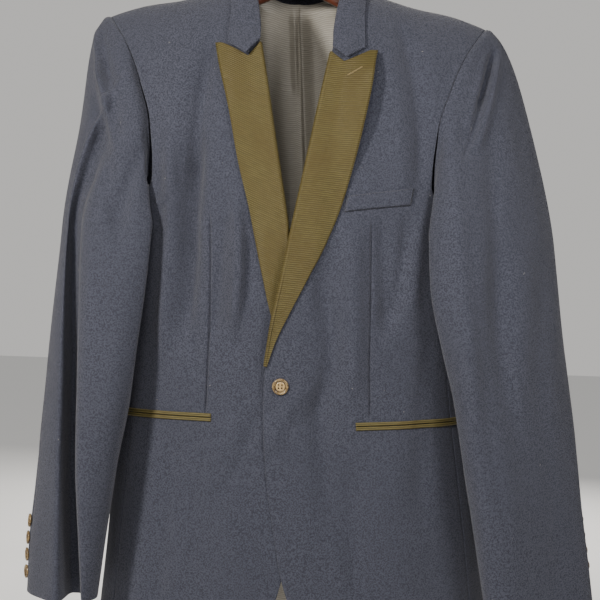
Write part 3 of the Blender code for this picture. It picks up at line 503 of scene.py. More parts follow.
FRONT = Half("front", -1.0, 2.1, 62.0, FRONT_FOLDS, FRONT_FINE, 2.3, {Side.LEFT: 11, Side.RIGHT: 23}, 0.0006)
BACK = Half("back", 1.0, 2.6, 118.0, BACK_FOLDS, BACK_FINE, 1.0, {Side.LEFT: 37, Side.RIGHT: 41}, 0.0007)


def mix(a: Array, b: Array, t: Array) -> Array:
    """The value a share t of the way from a to b."""
    return a + (b - a) * t


def bell(off: Array, width: float) -> Array:
    """A smooth bump of height 1, by how far off its middle each place is."""
    return np.exp(-((off / width) ** 2))


def step(t: Array) -> Array:
    """A smooth rise from 0 to 1 while t goes from 0 to 1."""
    t = np.clip(t, 0.0, 1.0)
    return t * t * (3 - 2 * t)


def unit(vectors: Array) -> Array:
    """The vectors at length one."""
    return vectors / np.maximum(np.linalg.norm(vectors, axis=-1, keepdims=True), 1e-9)


def world(x: Array, y: Array, down: Array) -> Array:
    """Points in the row frame from x, y and the distance below the neck point."""
    x, y, down = np.broadcast_arrays(x, y, down)
    return np.stack([x, y, -(HOOK_DROP + down)], axis=-1).astype(float)


def down_of(points: Array) -> Array:
    """How far below the neck point each point lies."""
    return -points[..., 2] - HOOK_DROP


class Table:
    """Rows of named columns, eased between the rows."""

    def __init__(self, rows: Sequence[NamedTuple], key: Optional[Sequence[float]] = None) -> None:
        """Keeps the rows.

        Args:
            rows: The rows, in order of their first column.
            key: Where each row lies, if that isn't its first column.
        """
        self.key = np.array([row[0] for row in rows] if key is None else key, float)
        self.columns = {name: np.array([getattr(row, name) for row in rows]) for name in rows[0]._fields}
        self.slopes = {name: np.gradient(value, self.key) for name, value in self.columns.items()}

    def at(self, name: str, place: Array) -> Array:
        """The named column at each place.

        Args:
            name: The column.
            place: Places along the key; those past its ends take the end rows.

        Returns:
            One value for each place.
        """
        value, slope = self.columns[name], self.slopes[name]
        place = np.clip(place, self.key[0], self.key[-1])
        low = np.clip(np.searchsorted(self.key, place) - 1, 0, len(self.key) - 2)
        span = self.key[low + 1] - self.key[low]
        t = (place - self.key[low]) / span
        t2, t3 = t * t, t * t * t
        return (
            (2 * t3 - 3 * t2 + 1) * value[low]
            + (t3 - 2 * t2 + t) * span * slope[low]
            + (3 * t2 - 2 * t3) * value[low + 1]
            + (t3 - t2) * span * slope[low + 1]
        )


def fold_height(folds: Sequence[Fold], out: Array, down: Array) -> Array:
    """What the folds add to a surface.

    Args:
        folds: The folds on it.
        out: Distance towards the folds' own side.
        down: Distance below the neck point.

    Returns:
        Height at each place, below zero in a trough.
    """
    total = np.zeros(np.broadcast(out, down).shape)
    for fold in folds:
        t = np.clip((down - fold.down_1) / (fold.down_3 - fold.down_1), -0.2, 1.2)
        middle = (fold.down_2 - fold.down_1) / (fold.down_3 - fold.down_1)
        bend = (fold.out_2 - mix(fold.out_1, fold.out_3, middle)) / (middle * (1 - middle))
        centre = mix(fold.out_1, fold.out_3, t) + bend * t * (1 - t)
        taper = step((t + 0.2) / 0.35) * step((1.2 - t) / 0.35)
        total = total + fold.height * taper * bell(out - centre, fold.width)
    return total


def unevenness(out: Array, down: Array, seed: int, height: float, spread: float = 0.07) -> Array:
    """Soft, slow waves, as in cloth that hangs.

    Args:
        out: Distance across the cloth.
        down: Distance down it.
        seed: Chooses the waves.
        height: The usual height of one wave.
        spread: The usual distance from wave to wave.

    Returns:
        Height at each place.
    """
    chance = np.random.default_rng(seed)
    total = np.zeros(np.broadcast(out, down).shape)
    for _ in range(7):
        long = spread * chance.uniform(0.6, 1.9)
        slant = chance.normal(0.0, 0.5)
        phase = chance.uniform(0, 2 * math.pi)
        along = out * math.cos(slant) + down * math.sin(slant) * 0.45
        total = total + height * 0.4 * np.sin(2 * math.pi * along / long + phase)
    return total


def grid_normals(grid: Array) -> Array:
    """Unit normals of a grid of points."""
    return unit(np.cross(np.gradient(grid, axis=0), np.gradient(grid, axis=1)))


def facing(grid: Array, towards: Sequence[float]) -> Array:
    """Normals of a grid, turned as a whole to the side that `towards` points to."""
    normal = grid_normals(grid)
    return -normal if np.sum(normal * towards) < 0 else normal


def edged(count: int, length: float, start: float = 0.0, end: float = 1.0) -> Array:
    """Even steps over a rough length in metres, with close ones at both ends to round the cloth's edges."""
    close = CLOSE_STEPS / length * (end - start)
    return np.concatenate([start + close, np.linspace(start, end, count + 1)[1:-1], end - close[::-1]])


def lengths(grid: Array, axis: int) -> Array:
    """Distance run along one axis of a grid of points, from its first row or column."""
    gaps = np.linalg.norm(np.diff(grid, axis=axis), axis=-1)
    first = np.zeros_like(np.take(gaps, [0], axis=axis))
    return np.concatenate([first, np.cumsum(gaps, axis=axis)], axis=axis)


def mesh_object(name: str, points: Array, faces: list, uv: OptArray = None) -> Thing:
    """A smooth mesh object.

    Args:
        name: The object's name.
        points: Its vertices.
        faces: Tuples of vertex numbers.
        uv: A pair of cloth metres for each vertex.

    Returns:
        The object, in the scene.
    """
    mesh = bpy.data.meshes.new(name)
    mesh.from_pydata(np.asarray(points, float).tolist(), [], faces)
    if uv is not None:
        layer = mesh.uv_layers.new(name="UVMap")
        corner = np.empty(len(mesh.loops), np.int64)
        mesh.loops.foreach_get("vertex_index", corner)
        layer.data.foreach_set("uv", np.asarray(uv, np.float32)[corner].ravel())
    mesh.shade_smooth()
    mesh.update()
    made = bpy.data.objects.new(name, mesh)
    bpy.context.scene.collection.objects.link(made)
    return made


def grid_faces(rows: int, columns: int, first: int, flip: bool) -> list:
    """Quads over a grid of vertices, numbered on from the first; they look the other way if flipped."""
    start = (np.arange(rows - 1)[:, None] * columns + np.arange(columns - 1)).reshape(-1, 1) + first
    return [tuple(quad) for quad in (start + [0, 1, columns + 1, columns][:: -1 if flip else 1]).tolist()]


def rim_of(rows: int, columns: int) -> list:
    """The vertex numbers round the edge of a grid, in order."""
    rim = list(range(columns))
    rim += [i * columns + columns - 1 for i in range(1, rows)]
    rim += [(rows - 1) * columns + j for j in range(columns - 2, -1, -1)]
    rim += [i * columns for i in range(rows - 2, 0, -1)]
    return rim


def between(name: str, outside: Array, inside: Array, uv: OptArray = None) -> Thing:
    """A closed mesh between two grids of points.

    Args:
        name: The object's name.
        outside: The grid that shows.
        inside: The grid behind it.
        uv: Cloth metres for each point of a grid, or none to take the distances run.

    Returns:
        The object.
    """
    rows, columns = outside.shape[:2]
    if uv is None:
        uv = np.stack([lengths(outside, 1), lengths(outside, 0)], axis=-1)
    count = rows * columns
    normal = grid_normals(outside)
    turned = np.sum(normal * (outside - inside)) > 0
    faces = grid_faces(rows, columns, 0, turned) + grid_faces(rows, columns, count, not turned)
    rim = rim_of(rows, columns)
    for here, after in zip(rim, rim[1:] + rim[:1]):
        quad = (after, here, count + here, count + after)
        faces.append(quad[::-1] if turned else quad)
    flat = np.asarray(uv, float).reshape(-1, 2)
    points = np.concatenate([outside.reshape(-1, 3), inside.reshape(-1, 3)])
    return mesh_object(name, points, faces, np.concatenate([flat, flat]))


def pinch(rows: int, columns: int) -> Array:
    """How far each point of a cloth's grid is drawn in to round its edges, as a share of half the thickness."""
    down, across = np.zeros(rows), np.zeros(columns)
    for line in (down, across):
        line[:3] = EDGE_DRAW
        line[-3:] = EDGE_DRAW[::-1]
    return np.maximum(down[:, None], across[None])[..., None]


class Torso:
    """The jacket's body: the surfaces that the fronts, sides and backs lie on."""

    def __init__(self) -> None:
        """Takes the named tables."""
        self.body = Table(BODY)
        self.shoulder_line = Table(SHOULDER)
        self.armhole = Table(ARMHOLE_SEAM)
        self.edge = Table(FRONT_EDGE)

    def shoulder(self, out: Array) -> Array:
        """How far down the shoulder line is at x or -x."""
        return self.shoulder_line.at("down", np.abs(out))

    def fullness(self, x: Array, down: Array) -> Array:
        """How much of its full depth the body has at x."""
        share = np.abs(x - self.body.at("centre", down)) / self.body.at("half_width", down)
        return np.maximum(1 - np.minimum(share, 1) ** FULLNESS, 1e-6) ** (1 / FULLNESS)

    def over_shoulder(self, x: Array, turn: Array) -> tuple[Array, Array]:
        """Places over the shoulder.

        Args:
            x: Places across the body.
            turn: 0 in front, 90 on top and 180 behind.

        Returns:
            y and the distance down.
        """
        angle = np.radians(turn)
        behind = turn > 90
        power = 2 / np.where(behind, BACK.arch, FRONT.arch)
        rise = np.abs(np.sin(angle)) ** power
        out = np.abs(np.cos(angle)) ** power
        down = ARMHOLE - (ARMHOLE - self.shoulder(x)) * rise
        depth = np.where(behind, self.body.at("back_depth", down), -self.body.at("front_depth", down))
        return depth * self.fullness(x, down) * out, down

    def seam_x(self, side: Side, down: Array, turn: Array) -> Array:
        """x on the body where turn runs from 0 at the front, by 90 at the side, to 180 at the back."""
        reach = self.body.at("half_width", down) * np.sin(np.radians(turn)) ** (2 / FULLNESS)
        return self.body.at("centre", down) + side.sign * reach

    def lap(self, side: Side, x: Array, down: Array) -> Array:
        """How far a front is pushed out where the left one lies over the right lapel and front."""
        if side is Side.RIGHT:
            return -0.0015 * step((x + 0.060) / 0.025) * step((down - 0.20) / 0.08)
        over = 0.0015 + 0.0046 * step((down - 0.27) / 0.05) * step((0.510 - down) / 0.05)
        return over * step((0.060 - x) / 0.035) * step((down - 0.20) / 0.08)

    def arch(self, x: Array, down: Array, power: float) -> Array:
        """The share of the body's depth that it has under the shoulder line."""
        share = np.clip((ARMHOLE - down) / (ARMHOLE - self.shoulder(x)), 0, 1)
        return np.maximum(1 - share**power, 0) ** (1 / power)

    def y_on(self, half: Half, side: Side, x: Array, down: Array) -> Array:
        """y on the outside of a front or back."""
        arch = self.arch(x, down, half.arch)
        depth = self.body.at(f"{half.word}_depth", down) * self.fullness(x, down) * arch
        folds = fold_height(half.folds[side], side.sign * x, down)
        if half is FRONT:
            folds = folds + self.lap(side, x, down)
        return half.way * (depth + folds * arch)

    def front_edge(self, side: Side, down: Array) -> Array:
        """x on a front's own edge."""
        return side.sign * self.edge.at("out", down) + self.edge.at("sway", down)

    def outer_seam(self, half: Half, side: Side, down: Array) -> Array:
        """x on a panel's outer seam: the armhole, or below it the side seam."""
        foot = ARMHOLE_SEAM[-1].down
        seam = self.seam_x(side, np.maximum(down, ARMHOLE), half.seam)
        share = np.clip((down - foot) / (ARMHOLE - foot), 0, 1)
        return mix(side.sign * self.armhole.at(half.word, down), seam, share)

    def level(self, half: Half, x: Array, along: Array) -> Array:
        """Distance down at x.

        Args:
            half: The front or back, where the neck cuts a share of the arch away.
            x: Places across the body.
            along: 0 at the shoulder, 1 at the armhole's foot and 2 at the hem.

        Returns:
            The distance down at each place.
        """
        start = 0.0
        if half is BACK:
            start = BACK_NECK_RISE * np.maximum(1 - (np.abs(x) / NECK_HALF) ** 2.2, 0)
        share = start + (1 - start) * np.clip(along, 0, 1)
        rise = np.sin(np.radians(90 * (1 - share))) ** (2 / half.arch)
        above = ARMHOLE - (ARMHOLE - self.shoulder(x)) * rise
        return np.where(along < 1, above, ARMHOLE + (HEM - ARMHOLE) * (along - 1))

    def span(self, half: Half, side: Side, along: Array) -> tuple[Array, Array]:
        """x at a front's own edge or a back's middle seam, and at its outer seam."""
        inner = np.full(np.shape(along), side.sign * NECK_HALF if half is FRONT else 0.0)
        outer = np.full(np.shape(along), side.sign * PANEL_FIRST_X)
        for _ in range(7):
            down = self.level(half, inner, along)
            middle = self.body.at("centre", down) + side.sign * SEAM / 2
            inner = self.front_edge(side, down) if half is FRONT else middle
            outer = self.outer_seam(half, side, self.level(half, outer, along)) - side.sign * SEAM / 2
        return inner, outer

    def point(self, half: Half, side: Side, across: Array, along: Array) -> Array:
        """The outside of a front or back: across is 0 at its edge or middle seam and 1 at its outer seam."""
        across, along = np.broadcast_arrays(across, along)
        x = mix(*self.span(half, side, along), across)
        down = self.level(half, x, along)
        return world(x, self.y_on(half, side, x, down) + half.way * SEAM / 2, down)

    def side_point(self, side: Side, across: Array, along: Array) -> Array:
        """A side panel's outside: across is 0 at the front's seam and 1 at the back's, along 0 at the underarm."""
        across, along = np.broadcast_arrays(across, along)
        turn = mix(FRONT.seam + SIDE_GAP, BACK.seam - SIDE_GAP, across)
        top = ARMHOLE + UNDERARM_DIP * np.sin(np.pi * np.clip(across, 0, 1))
        down = mix(top, HEM, along)
        cosine = np.cos(np.radians(turn))
        depth = np.where(turn > 90, self.body.at("back_depth", down), self.body.at("front_depth", down))
        y = -np.sign(cosine) * depth * np.abs(cosine) ** (2 / FULLNESS)
        return world(self.seam_x(side, down, turn), y, down)

    def relief(self, half: Half, side: Side, out: Array, down: Array) -> Array:
        """The fine folds on a back, or on a front and its side panel, fading where neighbours meet.

        Args:
            half: The front or back.
            side: Its side.
            out: Distance towards that side.
            down: Distance below the neck point.

        Returns:
            Height above the solid's form at each place.
        """
        soft = unevenness(out, down, half.seeds[side], half.soft)
        seam = side.sign * self.outer_seam(half, side, down)
        fade = step(np.abs(out - seam) / SEAM_FADE) * step((down - self.shoulder(out)) / 0.05)
        if half is BACK:
            fade = fade * step(out / 0.02)
        return (half.deepen * fold_height(half.fine[side], out, down) + soft) * fade

    def on_front(self, side: Side, x: Array, down: Array, turn: OptArray = None) -> tuple:
        """Places on the dressed outside of a front or its side panel.

        Args:
            side: The front's side.
            x: Places across the body, where no turn is given.
            down: Distances down.
            turn: Where the places lie round the body, for those near the side.

        Returns:
            The points and the way out of the cloth there.
        """

        def place(a: Array, b: Array) -> Array:
            """The solid's form."""
            if turn is None:
                return world(a, self.y_on(FRONT, side, a, b), b)
            across = self.seam_x(side, b, a)
            return world(across, self.y_on(FRONT, side, across, b), b)

        first = x if turn is None else turn
        first, down = np.broadcast_arrays(np.asarray(first, float), np.asarray(down, float))
        tiny = 1e-3 if turn is None else 0.4
        along = place(first + tiny, down) - place(first - tiny, down)
        upright = place(first, down + 1e-3) - place(first, down - 1e-3)
        normal = unit(np.cross(along, upright))
        normal = normal * np.where(normal[..., 1:2] > 0, -1.0, 1.0)
        points = place(first, down)
        relief = self.relief(FRONT, side, side.sign * points[..., 0], down)
        return points + normal * (relief + SEAM / 2)[..., None], normal


def dressed(piece: Thing, finish: Material, slot: Slot, *nodes: str) -> Thing:
    """Gives a piece its finish and its place in the frame.

    Args:
        piece: The piece.
        finish: Its material.
        slot: The record's slot that the finish stands for; not used.
        nodes: The CAD nodes that it stands for.

    Returns:
        The piece.
    """
    piece.data.materials.clear()
    piece.data.materials.append(finish)
    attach(piece, "root")
    if nodes:
        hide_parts(*nodes)
    LOG.info("%s: %d faces", piece.name, len(piece.data.polygons))
    return piece


def both_panels(side: Side) -> list[str]:
    """The names of a side's front and back, which its side panel and sleeve hang from."""
    return [f"front_{side.word}_cloth", f"back_{side.word}_cloth"]


@dataclass(frozen=True)
class Fabric:
    """A cloth: its finish and slot, its thickness, and the last word of its pieces' names."""

    finish: Material
    slot: Slot
    thick: float
    word: str

    def place(self, node: str, outside: Array, inside: Array, rests_on: Sequence[str], uv: OptArray = None) -> None:
        """A piece of the cloth between two grids of points; its cut is worked out from the cloth metres of its UV map,
        and then not used.

        Args:
            node: The CAD node that it stands for.
            outside: The grid that shows.
            inside: The grid behind it.
            rests_on: What the piece hangs from; not used.
            uv: Cloth metres for each point of a grid, or none to take the distances run.
        """
        piece = dressed(between(f"{node}_{self.word}", outside, inside, uv), self.finish, self.slot, node)
        metres = np.empty(len(piece.data.loops) * 2, np.float32)
        piece.data.uv_layers[0].data.foreach_get("uv", metres)
        flat = np.maximum(np.ptp(metres.reshape(-1, 2), axis=0), LEAST_FLAT)
        area = np.empty(len(piece.data.polygons))
        piece.data.polygons.foreach_get("area", area)
        cut = float(np.clip(area.sum() / 2, LEAST_CUT * flat[0] * flat[1], flat[0] * flat[1]))
        list(rests_on)

    def cut(self, node: str, grid: Array, normal: Array, rests_on: Sequence[str], uv: OptArray = None) -> None:
        """A piece of the cloth with rounded edges, from its outer face and the way that the face looks."""
        draw = pinch(*grid.shape[:2]) * self.thick / 2
        self.place(node, grid - normal * draw, grid - normal * (self.thick - draw), rests_on, uv)


@dataclass
class Panels:
    """The jacket's body: two fronts, two side panels and two backs, in one wool."""

    torso: Torso
    wool: Fabric
    across: int = 50
    arch_rows: int = 60
    body_rows: int = 122
    side_across: int = 24

    def rows(self, last: float = 2.0) -> Array:
        """Places down a panel, close together at its ends."""
        arch = np.linspace(0, 1, self.arch_rows + 1)
        body = np.linspace(1, last, self.body_rows + 1)[1:]
        close = np.array([0.0026, 0.0009, 0.0])
        return np.concatenate([[0.0, 0.004, 0.010], arch[1:], body[:-1], last - close])

    def dart_columns(self, side: Side, across: Array, along: Array) -> Array:
        """Draws a front's columns to its dart, so that the dart lies along a column.

        Args:
            side: The front's side.
            across: The columns.
            along: The rows.

        Returns:
            Where each point of the grid lies across the front.
        """
        inner, outer = self.torso.span(FRONT, side, along)
        down = self.torso.level(FRONT, inner, np.maximum(along, 1.0))
        line = side.sign * Table(DART).at(side.word, down)
        target = ((line - inner) / (outer - inner))[:, None]
        low = across[None] * target / DART_AT
        high = 1 - (1 - across[None]) * (1 - target) / (1 - DART_AT)
        return np.where(across[None] < DART_AT, low, high)

    def dart(self, side: Side, points: Array) -> Array:
        """How deep the dart's seam is pulled in at each point of a front."""
        down = down_of(points)
        off = side.sign * points[..., 0] - Table(DART).at(side.word, down)
        drawn = bell(off, 0.0011) + bell(off, 0.010) * 0.28
        ends = step((down - DART[0].down) / 0.022) * step((DART[-1].down - down + 0.004) / 0.01)
        return -DART_DEEP * drawn * ends

    def panel(self, node: str, grid: Array, relief: Array, way: tuple, rests_on: Sequence[str]) -> None:
        """One panel, raised from the solid's form.

        Args:
            node: Its CAD node.
            grid: Points on the solid's form.
            relief: The height above each.
            way: Roughly the way that the panel faces.
            rests_on: What it hangs from.
        """
        grid = grid + facing(grid, way) * relief[..., None]
        self.wool.cut(node, grid, facing(grid, way), rests_on)

    def front(self, side: Side) -> None:
        """One front, from its shoulder seam to its rounded hem."""
        even = edged(self.across, 0.17)
        even = even[np.abs(even - DART_AT) > DART_CLEAR]
        across, along = np.sort(np.concatenate([even, DART_AT + DART_COLUMNS])), self.rows()
        grid = self.torso.point(FRONT, side, self.dart_columns(side, across, along), along[:, None])
        relief = self.torso.relief(FRONT, side, side.sign * grid[..., 0], down_of(grid)) + self.dart(side, grid)
        self.panel(f"front_{side.word}", grid, relief, AHEAD, ["hanger_body"])

    def back(self, side: Side) -> None:
        """One back, from its shoulder seam to the hem."""
        across, along = np.meshgrid(edged(self.across, 0.19), self.rows())
        grid = self.torso.point(BACK, side, across, along)
        relief = self.torso.relief(BACK, side, side.sign * grid[..., 0], down_of(grid))
        self.panel(f"back_{side.word}", grid, relief, BEHIND, ["hanger_body"])

    def side(self, side: Side) -> None:
        """One side panel, from the underarm to the hem."""
        across, along = np.meshgrid(edged(self.side_across, 0.11), edged(120, 0.5))
        grid = self.torso.side_point(side, across, along)
        edge = step(across / 0.2) * step((1 - across) / 0.2) * step(along / 0.04)
        soft = unevenness(grid[..., 1], down_of(grid), 53 + int(side.sign), 0.0010) * edge
        self.panel(f"side_{side.word}", grid, soft, (side.sign, 0.0, 0.0), both_panels(side))

    def build(self) -> None:
        """Makes the body's six panels."""
        for side in Side:
            self.front(side)
            self.side(side)
            self.back(side)


@dataclass
class Lapels:
    """The two peak lapels, faced in ribbed silk and rolled over the front edges."""

    torso: Torso
    silk: Fabric
    thread: Material
    across: int = 40
    along: int = 150
    tuck: float = 0.0034
    turn_in: float = 0.008
    buttonhole: tuple[float, float, float, float] = (0.0572, 0.1223, 0.0738, 0.1138)

    def place(self, side: Side, across: Array, along: Array) -> tuple[Array, Array]:
        """x and distance down on a lapel.

        Args:
            side: The lapel's side.
            across: 0 at the roll line and 1 at the outer edge.
            along: 0 at the top edge and 1 at the lower end.

        Returns:
            x and the distance down.
        """
        name = side.word
        peak = np.interp(across, [point.across for point in LAPEL_TOP], [getattr(point, name) for point in LAPEL_TOP])
        down = mix(peak, LAPEL_END, along)
        edge = side.sign * self.edge.at(name, down) + self.torso.edge.at("sway", down)
        return mix(self.torso.front_edge(side, down), edge, across), down

    def __post_init__(self) -> None:
        """Takes the lapel's tables."""
        self.edge = Table(LAPEL_EDGE)

    def height(self, side: Side, across: Array, along: Array, down: Array) -> Array:
        """How far the silk's face stands above the front's cloth."""
        shown = step((LAPEL_SHOWN[side] - down) / 0.05)
        lift = LAPEL_LIFT * (1 - np.clip(across, 0, 1)) ** 2 * step(along / 0.2) * shown
        rolled_edge = LAPEL_EDGE_ROLL * bell(1 - across, 0.035) * shown
        apart = LAPEL_APART[side] * step((across - 0.35) / 0.65)
        apart = apart * step((0.26 - down) / 0.12) * step((down - 0.075) / 0.05)
        return LAY + LAPEL_STAND + lift + rolled_edge + apart

    def lapel(self, side: Side) -> None:
        """One lapel: its face, and its roll round the front's edge."""
        along = np.linspace(0, 1, self.along + 1) ** 1.1
        along = np.concatenate([[0.0, 0.0012, 0.0034], along[1:-1], [0.9960, 0.9986, 1.0]])[:, None]
        across = np.concatenate([np.linspace(0.03, 1, self.across)[:-1], [0.975, 0.99, 1.0]])[None]
        across, rows = np.broadcast_arrays(across, along)
        x, down = self.place(side, across, rows)
        base, normal = self.torso.on_front(side, x, down)
        soft = unevenness(x, down, 71 + int(side.sign), 0.0005) * step(across / 0.2) * step((1 - across) / 0.25)
        face = base + normal * (self.height(side, across, rows, down) + soft)[..., None]
        zero = np.zeros_like(along)
        x, down = self.place(side, zero, along)
        root, out = self.torso.on_front(side, x, down)
        run = np.gradient(root[:, 0], axis=0)
        level = unit(np.cross(run, out[:, 0]))
        level = level * np.sign(np.sum(level * (face[:, 0] - root[:, 0]), axis=-1))[:, None]
        top = self.height(side, zero, along, down)[:, 0]
        radius = (top + self.tuck) / 2
        angles = np.radians(np.linspace(270, 90, 13))
        turned = [
            root[:, 0]
            + level * (radius * math.cos(angle) + 0.00075)[:, None]
            + out[:, 0] * (top - radius + radius * math.sin(angle))[:, None]
            for angle in angles
        ]
        inside = [turned[0] + level * reach for reach in (self.turn_in, self.turn_in - 0.0005, self.turn_in / 2)]
        grid = np.concatenate([np.stack(inside + turned, axis=1), face], axis=1)
        normal = grid_normals(grid)
        normal = normal * np.sign(np.sum(normal[:, -5] * out[:, 0]))
        rib = down_of(grid) + RIB_SLANT[side] * grid[..., 0]
        uv = np.stack([lengths(grid, 1), rib], axis=-1)
        self.silk.cut(f"lapel_{side.word}", grid, normal, [f"front_{side.word}_cloth"], uv)

    def stitched_hole(self) -> Thing:
        """The small worked buttonhole on the left lapel."""
        x1, down1, x2, down2 = self.buttonhole
        count, round_count = 72, 8
        share = np.linspace(0, 1, count)
        x, down = mix(x1, x2, share), mix(down1, down2, share)
        base, normal = self.torso.on_front(Side.LEFT, x, down)
        run = unit(np.gradient(base, axis=0))
        level = np.cross(run, normal)
        roll = self.torso.front_edge(Side.LEFT, down)
        across = (x - roll) / (self.edge.at("left", down) + self.torso.edge.at("sway", down) - roll)
        above = self.height(Side.LEFT, across, np.full(count, 0.1), down)[:, None]
        ends = np.minimum(1, np.minimum(share, 1 - share) / 0.06 + 0.25)
        wide = 0.0010 * ends * (1 + 0.22 * np.sin(share * math.pi * 2 * 18))
        rings = [
            base + level * (wide * math.cos(angle))[:, None] + normal * (above + 0.0003 + 0.0005 * math.sin(angle))
            for angle in np.linspace(0, 2 * np.pi, round_count, endpoint=False)
        ]
        return closed_tube("lapel_left_buttonhole", np.stack(rings, axis=1))

    def build(self) -> None:
        """Makes both lapels and the buttonhole."""
        for side in Side:
            self.lapel(side)
        dressed(self.stitched_hole(), self.thread, Slot.SILK)


def closed_tube(name: str, grid: Array) -> Thing:
    """A tube through rings of points, closed at both ends.

    Args:
        name: The object's name.
        grid: Rings down the tube by points round each ring.

    Returns:
        The object.
    """
    rings, count = grid.shape[:2]
    middle = grid.mean(axis=1)
    points = np.concatenate([grid.reshape(-1, 3), middle[:1], middle[-1:]])
    around = [(k, (k + 1) % count) for k in range(count)]
    faces = [
        (first + k, first + after, first + count + after, first + count + k)
        for first in range(0, (rings - 1) * count, count)
        for k, after in around
    ]
    last = (rings - 1) * count
    for k, after in around:
        faces += [(rings * count, k, after), (rings * count + 1, last + after, last + k)]
    round_by = np.tile(np.linspace(0, 1, count), rings) * np.linalg.norm(grid[0, 0] - grid[0, 1]) * count
    run = np.repeat(lengths(middle[:, None], 0)[:, 0], count)
    uv = np.stack([round_by, run], axis=-1)
    made = mesh_object(name, points, faces, np.concatenate([uv, [[0.0, 0.0], [0.0, run[-1]]]]))
    return outward(made)


def outward(piece: Thing) -> Thing:
    """Turns a closed mesh's faces outwards."""
    shape = bmesh.new()
    shape.from_mesh(piece.data)
    bmesh.ops.recalc_face_normals(shape, faces=shape.faces)
    shape.to_mesh(piece.data)
    shape.free()
    return piece


@dataclass
class Collar:
    """The collar's turned-down fall in wool, and the stand inside it."""

    torso: Torso
    wool: Fabric
    stations: int = 190
    across: int = 34
    fold_radius: float = 0.0029

    def __post_init__(self) -> None:
        """Takes the collar's table, whose stations are counted from its front end."""
        self.table = Table(COLLAR, key=range(len(COLLAR)))

    def lines(self) -> tuple[Array, ...]:
        """The collar's stations and sides, and its fold, neck seam and outer edge there."""
        last = len(COLLAR) - 1
        place = edged(self.stations, 0.5, -last, last)
        side = np.where(place <= 0, 1.0, -1.0)
        station = last - np.abs(place)
        out, y, down = (self.table.at(f"fold_{part}", station) for part in ("out", "y", "down"))
        fold = world(side * out, y, down)
        found = []
        for part in ("seam", "edge"):
            x = side * self.table.at(f"{part}_out", station)
            y, down = self.torso.over_shoulder(x, self.table.at(f"{part}_turn", station))
            found.append(world(x, y, down))
        return station, side, fold, found[0], found[1]

    @staticmethod
    def lift(points: Array) -> Array:
        """The way away from the hanger near the neck."""
        out = np.stack([points[:, 0] * 0.15, points[:, 1] * 2.2, points[:, 2] + HOOK_DROP + 0.20], axis=-1)
        return unit(out)

    def fall(self) -> tuple[Array, Array]:
        """The fall, rolled over at the collar's fold.

        Returns:
            The lower edge of its roll inside the neck, and the neck seam.
        """
        station, side, fold, seam, edge = self.lines()
        lift = self.lift(edge)
        front_end = step(1 - station)
        fold[:, 2] += np.where(side < 0, RIGHT_GORGE_RISE, 0) * front_end
        outer = edge + lift * (COLLAR_CLEAR + 0.0020)
        middle = (fold + outer) / 2 + lift * self.table.at("bulge", station)[:, None]
        control = 2 * middle - (fold + outer) / 2
        drop = np.where(side < 0, GORGE_DROP[Side.RIGHT], GORGE_DROP[Side.LEFT]) * front_end
        columns = []
        across_all = np.concatenate([np.linspace(0, 1, self.across)[:-1], [0.985, 0.995, 1.0]])
        for across in across_all:
            line = (1 - across) ** 2 * fold + 2 * across * (1 - across) * control + across**2 * outer
            notch = min(across / GORGE_ACROSS, (1 - across) / (1 - GORGE_ACROSS))
            line[:, 2] -= notch * drop
            line[:, 1] -= notch * drop * GORGE_SLOPE
            columns.append(line)
        face = np.stack(columns, axis=1)
        normal = grid_normals(face)
        normal = normal * np.sign(np.sum(normal * lift[:, None]))
        soft = unevenness(lengths(face, 1), lengths(face, 0), 83, 0.0005)
        ridge = 0.0005 * bell(1 - across_all, 0.05)[None]
        near_fold = step(across_all / 0.3)[None]
        face = face + normal * (soft * near_fold + ridge)[..., None]
        away = unit(face[:, 0] - face[:, 1])
        radius = self.fold_radius * (0.45 + 0.55 * step(station / 1.2))[:, None]
        centre = face[:, 0] - normal[:, 0] * radius
        rolled = [
            centre + radius * (normal[:, 0] * math.sin(angle) + away * math.cos(angle))
            for angle in np.radians(np.linspace(-90, 80, 12))
        ]
        tuck = [rolled[0] - away * reach for reach in (0.004, 0.0035, 0.002)]
        grid = np.concatenate([np.stack(tuck + rolled, axis=1), face], axis=1)
        normal = grid_normals(grid)
        normal = normal * np.sign(np.sum(normal[:, -6] * lift))
        self.wool.cut("collar_fall", grid, normal, ["back_left_cloth", "back_right_cloth"])
        return rolled[0], seam

    def stand(self, top: Array, seam: Array) -> None:
        """The stand, from inside the roll down to the neck seam."""
        inward = -seam.copy()
        inward[:, 2] = 0
        inward = unit(inward)
        foot = seam + inward * 0.0026
        foot[:, 2] += 0.0006
        keep = slice(12, -12)
        shares = edged(10, 0.03)
        grid = np.stack([mix(top + inward * 0.0004, foot, share)[keep] for share in shares], axis=1)
        normal = facing(grid, np.broadcast_to(inward[keep, None], grid.shape))
        self.wool.cut("collar_stand", grid, normal, ["hanger_body"])

    def build(self) -> None:
        """Makes the fall and the stand."""
        self.stand(*self.fall())


